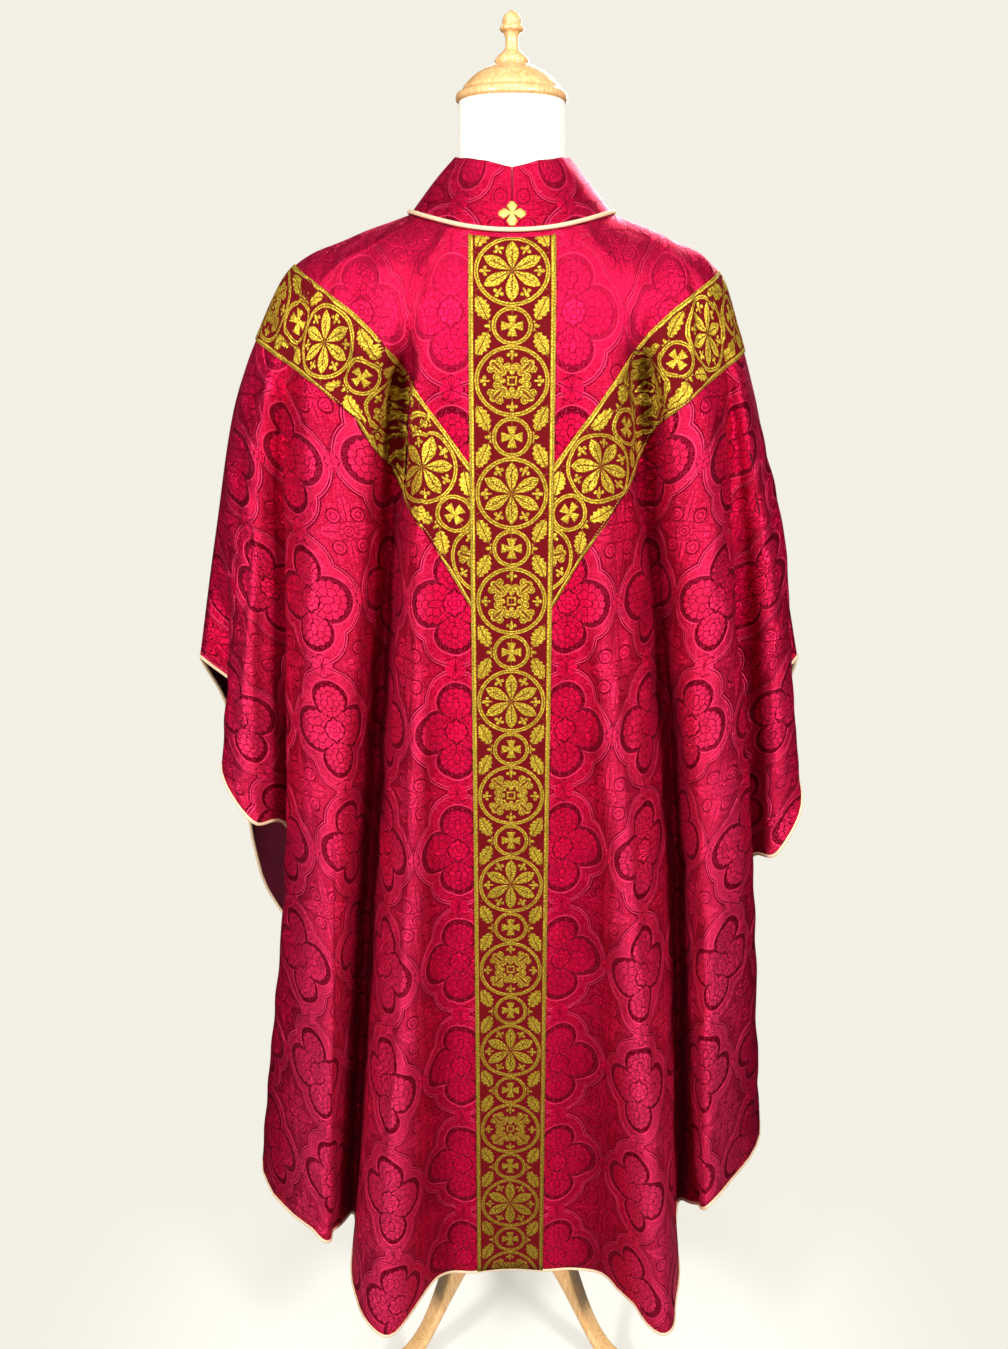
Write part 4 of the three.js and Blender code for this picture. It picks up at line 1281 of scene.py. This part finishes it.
def stitch_tree():
    tree, given, made = new_tree(
        "stitches along a path", Step="Float", Long="Float", Thick="Float", Thread="Material"
    )
    path = tree.nodes.new("GeometryNodeMeshToCurve")
    places = tree.nodes.new("GeometryNodeCurveToPoints")
    places.mode = "LENGTH"
    stitch = tree.nodes.new("GeometryNodeMeshUVSphere")
    settle(stitch, {"Segments": 6, "Rings": 4, "Radius": 0.5})
    size = tree.nodes.new("ShaderNodeCombineXYZ")
    put = tree.nodes.new("GeometryNodeInstanceOnPoints")
    whole = tree.nodes.new("GeometryNodeRealizeInstances")
    smooth = tree.nodes.new("GeometryNodeSetShadeSmooth")
    thread = tree.nodes.new("GeometryNodeSetMaterial")
    link = tree.links.new
    link(given.outputs["Geometry"], path.inputs["Mesh"])
    link(path.outputs["Curve"], places.inputs["Curve"])
    link(given.outputs["Step"], places.inputs["Length"])
    for axis, label in (("X", "Thick"), ("Y", "Thick"), ("Z", "Long")):
        link(given.outputs[label], size.inputs[axis])
    link(places.outputs["Points"], put.inputs["Points"])
    link(places.outputs["Rotation"], put.inputs["Rotation"])
    link(stitch.outputs["Mesh"], put.inputs["Instance"])
    link(size.outputs["Vector"], put.inputs["Scale"])
    link(put.outputs["Instances"], whole.inputs["Geometry"])
    link(whole.outputs["Geometry"], smooth.inputs["Geometry"])
    link(smooth.outputs["Geometry"], thread.inputs["Geometry"])
    link(given.outputs["Thread"], thread.inputs["Material"])
    link(thread.outputs["Geometry"], made.inputs["Geometry"])
    return tree


def grown_along(name, paths, tree, closed=False, **values):
    """Runs a node tree on paths in millimetres, and keeps the result as a plain mesh."""
    points, edges = [], []
    for path in paths:
        first = len(points)
        points += (np.array(path) + [CENTRE_SHIFT, 0, 0]).tolist()
        edges += [(first + k, first + k + 1) for k in range(len(path) - 1)]
        edges += [(len(points) - 1, first)] if closed else []
    mesh = bpy.data.meshes.new(name + "_path")
    mesh.from_pydata([tuple(c * MM for c in p) for p in points], edges, [])
    maker = placed(name + "_maker", mesh)
    modifier = maker.modifiers.new("grow", "NODES")
    modifier.node_group = tree
    inputs = (item for item in tree.interface.items_tree if item.in_out == "INPUT")
    sockets = {item.name: item.identifier for item in inputs}
    for label, value in values.items():
        modifier[sockets[label]] = value
    bpy.context.view_layer.update()
    grown = bpy.data.meshes.new_from_object(maker.evaluated_get(bpy.context.evaluated_depsgraph_get()))
    bpy.data.objects.remove(maker)
    grown.name = name
    return placed(name, grown)


cords, stitches = cord_tree(), stitch_tree()


# %% Cream satin and gold thread
def plain_material(
    name, colour, second, roughness, spread, sheen=0.0, metallic=0.0, bump=0.0003, stretch=(1, 1, 1)
):
    """Two close colours in soft patches on object coordinates, with a fine bump of the same noise."""
    material = bpy.data.materials.new(name)
    material.use_nodes = True
    tree = material.node_tree
    shader = tree.nodes["Principled BSDF"]
    place = tree.nodes.new("ShaderNodeTexCoord")
    turn = tree.nodes.new("ShaderNodeMapping")
    settle(turn, {"Scale": stretch})
    tree.links.new(place.outputs["Object"], turn.inputs["Vector"])
    patches = tree.nodes.new("ShaderNodeTexNoise")
    settle(patches, {"Scale": spread, "Detail": 5})
    tree.links.new(turn.outputs["Vector"], patches.inputs["Vector"])
    patch = Field(tree, patches.outputs["Fac"])
    tree.links.new(blend(patch, colour, second).socket, shader.inputs["Base Color"])
    tree.links.new((patch * 0.15 + (roughness - 0.07)).socket, shader.inputs["Roughness"])
    settle(shader, {"Metallic": metallic, "Sheen Weight": sheen})
    raise_by(shader, patch, bump)
    return material


cream = plain_material("cream satin cord", (0.6, 0.4, 0.24), (0.76, 0.58, 0.38), 0.5, 900, stretch=(1, 1, 3))
gold_thread = plain_material("gold sewing thread", (0.55, 0.4, 0.07), (0.85, 0.68, 0.2), 0.35, 1500, metallic=0.5)


# %% The neck cord and the bound hem
CORD_RADIUS = 2.2
HEM_OUT, NECK_OUT = 1.3, 2.9  # how far a cord's middle lies out from the cloth's edge


def edge_ring(back_edge, front_edge):
    """Both panels' values along one edge, as one loop that counts each shoulder seam once."""
    return np.concatenate([back_edge, front_edge[1:-1][::-1]])


def closed_mean(values, reach):
    """A running mean round a closed loop."""
    return sum(np.roll(values, k, axis=0) for k in range(-reach, reach + 1)) / (2 * reach + 1)


def hem_path():
    """The middle of the hem cord: it holds the cloth's edge, so it lies just beyond it."""
    points = edge_ring(back["points"][:, -1], front["points"][:, -1])
    normals = edge_ring(back["normals"][:, -1], front["normals"][:, -1])
    above = edge_ring(back["points"][:, -3], front["points"][:, -3])
    round_the_hem = unit(np.roll(points, -1, axis=0) - np.roll(points, 1, axis=0))
    out = points - above
    out = unit(out - np.sum(out * round_the_hem, axis=1, keepdims=True) * round_the_hem)
    out = unit(closed_mean(out, 2))
    return points - normals * CLOTH / 2 + out * HEM_OUT


def neck_path():
    """The middle of the neck cord: it rests in the angle between the panels and the collar."""
    points = edge_ring(back["points"][:, 0], front["points"][:, 0])
    normals = edge_ring(back["normals"][:, 0], front["normals"][:, 0])
    outward = unit(points * [1, 1, 0])
    lean = unit(normals + unit(outward + [0, 0, 0.8]))
    return points + closed_mean(lean, 2) * NECK_OUT


cord = dict(tree=cords, closed=True, Radius=CORD_RADIUS * MM, Cover=cream)
hem_cord = grown_along("hem_cord", [hem_path()], Sides=12, **cord)
finished(hem_cord, "hem_binding", slot="piping")
neck_cord = grown_along("neck_cord", [neck_path()], Sides=14, **cord)
finished(neck_cord, "neck_piping", slot="piping")
print("points round the hem:", len(hem_path()))


# %% Stitches along the galloon
STITCH_LIFT = BAND_LIFT + BAND
STITCH_INSET = 0.35  # how far in from a pillar's edge, as a share of its outer column
STITCH = dict(Step=3.4 * MM, Long=2.4 * MM, Thick=0.55 * MM, Thread=gold_thread)


def band_edges(sheet):
    """Two paths just inside the long edges of a pillar, which run down its columns."""
    p, n = sheet["points"], sheet["normals"]
    ends = ((0, 1), (-1, -2))
    return [p[a] * (1 - STITCH_INSET) + p[b] * STITCH_INSET + n[a] * STITCH_LIFT for a, b in ends]


def arm_edges(sheet):
    """Two paths just inside the long edges of an arm, which run along its rows."""
    p, n = sheet["points"], sheet["normals"]
    return [p[:, j] + n[:, j] * STITCH_LIFT for j in (1, -2)]


for place, sheet in (("back", back_pillar_sheet), ("front", front_pillar_sheet)):
    paths = band_edges(sheet) + arm_edges(arms[place, "left"]) + arm_edges(arms[place, "right"])
    piece = grown_along(place + "_stitches", paths, stitches, **STITCH)
    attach(piece, BODY)
    print(piece.name, "faces:", len(piece.data.polygons))

# %% [markdown]
# ## The cross on the collar
#
# A small cross is embroidered on the collar seam in padded satin stitch. Its arms flare and end in three
# lobes. A flat plate would look printed, so the outline is filled in rings that rise towards the middle.


# %% Closed bodies from points and faces
def ring_faces(levels, count):
    """The faces between one ring of points and the next."""
    return [
        (r * count + k, r * count + (k + 1) % count, (r + 1) * count + (k + 1) % count, (r + 1) * count + k)
        for r in range(levels - 1)
        for k in range(count)
    ]


def smooth_body(name, points, faces, material):
    """A smooth closed mesh through points in millimetres, with its faces turned outwards."""
    mesh = bpy.data.meshes.new(name)
    mesh.from_pydata(((points + [CENTRE_SHIFT, 0, 0]) * MM).tolist(), [], faces)
    mesh.polygons.foreach_set("use_smooth", np.ones(len(faces), bool))
    mesh.materials.append(material)
    work = bmesh.new()
    work.from_mesh(mesh)
    bmesh.ops.recalc_face_normals(work, faces=work.faces)
    work.to_mesh(mesh)
    work.free()
    return placed(name, mesh)


# %% Embroidered cross
CROSS_REACH, CROSS_SHARE, CROSS_CROWN = 14, 0.32, 1.9
CROSS_LIFT = 0.6  # off the collar's cloth
COLLAR_BEND = 92.0  # radius of the collar where the cross lies
CROSS_ARM = [
    (0.13, 0.13), (0.36, 0.14), (0.48, 0.3), (0.58, 0.39), (0.7, 0.37),
    (0.78, 0.24), (0.87, 0.24), (0.96, 0.15), (1.0, 0.0),
]
CROSS_RINGS = ((1.0, 0.0), (0.97, 0.6), (0.82, 0.9), (0.5, 1.0), (0.2, 1.0))  # shares of reach and crown


def cross_outline():
    """Half an arm, its mirror image, and the whole arm at four quarter turns."""
    arm = [(x, -y) for x, y in CROSS_ARM] + CROSS_ARM[-2:0:-1]
    outline = []
    for c, s in ((1, 0), (0, 1), (-1, 0), (0, -1)):
        outline += [(x * c - y * s, x * s + y * c) for x, y in arm]
    return np.array(outline) * CROSS_REACH


def embroidered_cross():
    outline = cross_outline()
    loops = []
    for share, rise in CROSS_RINGS:
        loops.append(np.column_stack([outline * share, np.full(len(outline), rise * CROSS_CROWN)]))
    count = len(outline)
    points = np.concatenate([*loops, [[0, 0, CROSS_CROWN]], loops[0] - [0, 0, 0.2], [[0, 0, -0.2]]])
    last, top, base = (len(loops) - 1) * count, len(loops) * count, len(loops) * count + 1
    faces = ring_faces(len(loops), count)
    faces += [(last + k, last + (k + 1) % count, top) for k in range(count)]
    faces += [(k, base + k, base + (k + 1) % count, (k + 1) % count) for k in range(count)]
    faces += [(base + (k + 1) % count, base + k, base + count) for k in range(count)]
    seam = collars["right"]
    row = int(CROSS_SHARE * COLLAR_ROWS)
    centre, up = seam["points"][0, row] * [0, 1, 1], unit(seam["points"][0, row + 1] - seam["points"][0, row])
    out = unit(np.cross([1, 0, 0], up))
    bent = points[:, :2] @ np.array([[1, 0, 0], up * [0, 1, 1]]) + points[:, 2:] * out
    bent[:, 1] += points[:, 0] ** 2 / (2 * COLLAR_BEND)
    bent += centre + out * CROSS_LIFT
    return smooth_body("collar_cross_embroidery", bent, faces, gold_thread)


finished(embroidered_cross(), "collar_cross", slot="galloon")

# %% [markdown]
# ## The form and its stand
#
# The form is a padded torso under tight linen, with a wooden cap on the neck and a turned finial. Its
# rings are the same as the solid's, with more of them between. The turned pieces are one profile each,
# spun round the axis of the pole.

# %% Linen and wood
linen = plain_material("linen cover", (0.78, 0.74, 0.65), (0.88, 0.85, 0.78), 0.8, 420, sheen=0.25, bump=0.0004)


def wood_material():
    material = bpy.data.materials.new("varnished beech")
    material.use_nodes = True
    tree = material.node_tree
    shader = tree.nodes["Principled BSDF"]
    place = tree.nodes.new("ShaderNodeTexCoord")
    stretch = tree.nodes.new("ShaderNodeMapping")
    settle(stretch, {"Scale": (26, 26, 3.2)})
    tree.links.new(place.outputs["Object"], stretch.inputs["Vector"])
    figure = tree.nodes.new("ShaderNodeTexNoise")
    settle(figure, {"Scale": 3, "Detail": 6, "Distortion": 0.8})
    tree.links.new(stretch.outputs["Vector"], figure.inputs["Vector"])
    grain = Field(tree, figure.outputs["Fac"])
    bands = (grain * 7).mirrored(0.5) * 2
    colour = blend(bands, (0.62, 0.33, 0.12), (0.78, 0.49, 0.22))
    tree.links.new(colour.socket, shader.inputs["Base Color"])
    settle(shader, {"Roughness": 0.4, "Coat Weight": 0.5, "Coat Roughness": 0.15})
    raise_by(shader, bands, 0.0002)
    return material


wood = wood_material()


# %% Rings to a closed body
def closed_body(name, rings, material):
    """A body through closed rings in millimetres, with a fan at each end."""
    rings = np.asarray(rings, float)
    levels, count = rings.shape[:2]
    points = np.concatenate([rings.reshape(-1, 3), [rings[0].mean(0)], [rings[-1].mean(0)]])
    last, low, high = (levels - 1) * count, levels * count, levels * count + 1
    faces = ring_faces(levels, count)
    faces += [(low, (k + 1) % count, k) for k in range(count)]
    faces += [(high, last + k, last + (k + 1) % count) for k in range(count)]
    piece = smooth_body(name, points, faces, material)
    piece.data.set_sharp_from_angle(angle=math.radians(50))
    return piece


# %% The torso
# height, half width, depth behind, depth ahead
FORM = [
    (862, 138, 92, 96), (880, 150, 100, 104), (960, 152, 98, 106), (1080, 128, 82, 92),
    (1200, 152, 80, 108), (1310, 172, 70, 118), (1390, 188, 78, 112), (1430, 203, 92, 102),
    (1455, 205, 94, 88), (1474, 198, 86, 76), (1490, 172, 78, 66), (1504, 137, 74, 59),
    (1518, 96, 65, 59), (1534, 66, 60, 57), (1560, 56, 57, 55), (1626, 55, 56, 54),
]
FORM_POWER, FORM_FACETS, FORM_STEPS = 2.2, 120, 5


def form_rings():
    turn = np.linspace(0, 2 * math.pi, FORM_FACETS, endpoint=False)
    c, s = np.cos(turn), np.sin(turn)
    rounded = lambda v: np.sign(v) * np.abs(v) ** (2 / FORM_POWER)
    table = np.array(FORM, float)
    u = np.linspace(0, len(FORM) - 1, (len(FORM) - 1) * FORM_STEPS + 1)
    heights = np.interp(u, np.arange(len(FORM)), table[:, 0])
    sizes = np.stack([np.interp(u, np.arange(len(FORM)), table[:, k]) for k in (1, 2, 3)], axis=1)
    return [
        np.column_stack([half * rounded(c), np.where(s < 0, behind, ahead) * rounded(s), np.full_like(c, z)])
        for z, (half, behind, ahead) in zip(heights, sizes)
    ]


finished(closed_body("linen_torso", form_rings(), linen), "form_torso", slot="linen")

# %% Turned pieces
CAP = [(56, 1626.3), (58, 1629), (57, 1634), (52, 1637), (49, 1642), (38, 1652), (25, 1659), (18, 1662)]
FINIAL = [
    (17, 1662.3), (17.5, 1666), (13, 1671), (7.5, 1676), (6.5, 1684), (8, 1690), (12, 1693), (12, 1696),
    (9.5, 1698), (10, 1702), (7.5, 1707), (3, 1710.5),
]
POLE_TOP, POLE_RADIUS = 861.7, 17
HUB_RADIUS, HUB_LOW, HUB_HIGH = 34, 150, 250
TURNED_FACETS, TURNED_STEPS = 72, 4


def turned(name, profile, node, smooth=True):
    """A wooden piece spun round the pole's axis from its profile of radius and height."""
    profile = np.array(profile, float)
    if smooth:
        profile = through(profile, np.linspace(0, len(profile) - 1, (len(profile) - 1) * TURNED_STEPS + 1))
    turn = np.linspace(0, 2 * math.pi, TURNED_FACETS, endpoint=False)
    rings = [np.column_stack([r * np.cos(turn), r * np.sin(turn), np.full_like(turn, z)]) for r, z in profile]
    return finished(closed_body(name, rings, wood), node, slot="wood")


def rounded_post(radius, low, high, edge):
    quarter = np.linspace(0, math.pi / 2, 5)
    foot = [(radius - edge + edge * math.sin(q), low + edge - edge * math.cos(q)) for q in quarter]
    head = [(radius - edge + edge * math.cos(q), high - edge + edge * math.sin(q)) for q in quarter]
    return foot + head


turned("turned_cap", CAP, "neck_cap")
turned("turned_finial", FINIAL, "finial")
turned("turned_pole", rounded_post(POLE_RADIUS, HUB_HIGH + SEAM_GAP, POLE_TOP, 1.5), "pole", smooth=False)
turned("turned_hub", rounded_post(HUB_RADIUS, HUB_LOW, HUB_HIGH, 6), "hub", smooth=False)

# %% Legs
LEG_REACH, LEG_FOOT, LEG_TOE, LEG_THICK, LEG_TOP, LEG_BOTTOM = 212, 30, 14, 26, 236, 166
LEG_TURNS = {"front": 90, "back_left": 210, "back_right": 330}
LEG_ROUND = 4


def bezier(a, b, c, d, count=24):
    t = np.linspace(0, 1, count)[:, None]
    a, b, c, d = (np.array(p, float) for p in (a, b, c, d))
    return a * (1 - t) ** 3 + 3 * b * t * (1 - t) ** 2 + 3 * c * t**2 * (1 - t) + d * t**3


def leg(place, degrees):
    start, heel = HUB_RADIUS + SEAM_GAP, LEG_REACH - LEG_FOOT
    middle = 0.5 * LEG_REACH
    over = bezier((start, LEG_TOP), (middle, LEG_TOP), (middle, 2.6 * LEG_TOE), (heel, 1.8 * LEG_TOE))
    under = bezier((heel, 0), (0.62 * LEG_REACH, LEG_TOE), (0.4 * LEG_REACH, LEG_BOTTOM), (start, LEG_BOTTOM))
    outline = [*over, (LEG_REACH, LEG_TOE), (LEG_REACH, 0), *under]
    work = bmesh.new()
    verts = [work.verts.new((x, -LEG_THICK / 2, z)) for x, z in outline]
    side = work.faces.new(verts)
    other = bmesh.ops.extrude_face_region(work, geom=[side])
    moved = [v for v in other["geom"] if isinstance(v, bmesh.types.BMVert)]
    bmesh.ops.translate(work, verts=moved, vec=(0, LEG_THICK, 0))
    bmesh.ops.recalc_face_normals(work, faces=work.faces)
    paired = (e for e in work.edges if len(e.link_faces) == 2)
    long_edges = [e for e in paired if e.calc_face_angle(0) > math.radians(60)]
    bmesh.ops.bevel(work, geom=long_edges, offset=LEG_ROUND, segments=3, profile=0.5, affect="EDGES")
    c, s = math.cos(math.radians(degrees)), math.sin(math.radians(degrees))
    for v in work.verts:
        x, y, z = v.co
        v.co = ((x * c - y * s + CENTRE_SHIFT) * MM, (x * s + y * c) * MM, max(0, z) * MM)
    mesh = bpy.data.meshes.new("turned_leg_" + place)
    work.to_mesh(mesh)
    work.free()
    mesh.polygons.foreach_set("use_smooth", np.ones(len(mesh.polygons), bool))
    mesh.set_sharp_from_angle(angle=math.radians(35))
    mesh.materials.append(wood)
    return finished(placed("turned_leg_" + place, mesh), "leg_" + place, slot="wood")


for place, degrees in LEG_TURNS.items():
    leg(place, degrees)

# %% [markdown]
# ## What the maker cut
#
# Each panel is one cut piece: half of a wide oval, a little narrower over the shoulders.

# %% Cloth that was cut flat
for piece, sheet, trims in (
    (back_cloth, back, [back_pillar, hem_cord]),
    (front_cloth, front, [front_pillar]),
):
    area, wide, long = cloth_area(sheet)
    print(piece.name, "flat size in metres:", round(wide, 3), "by", round(long, 3), "area", round(area, 3))
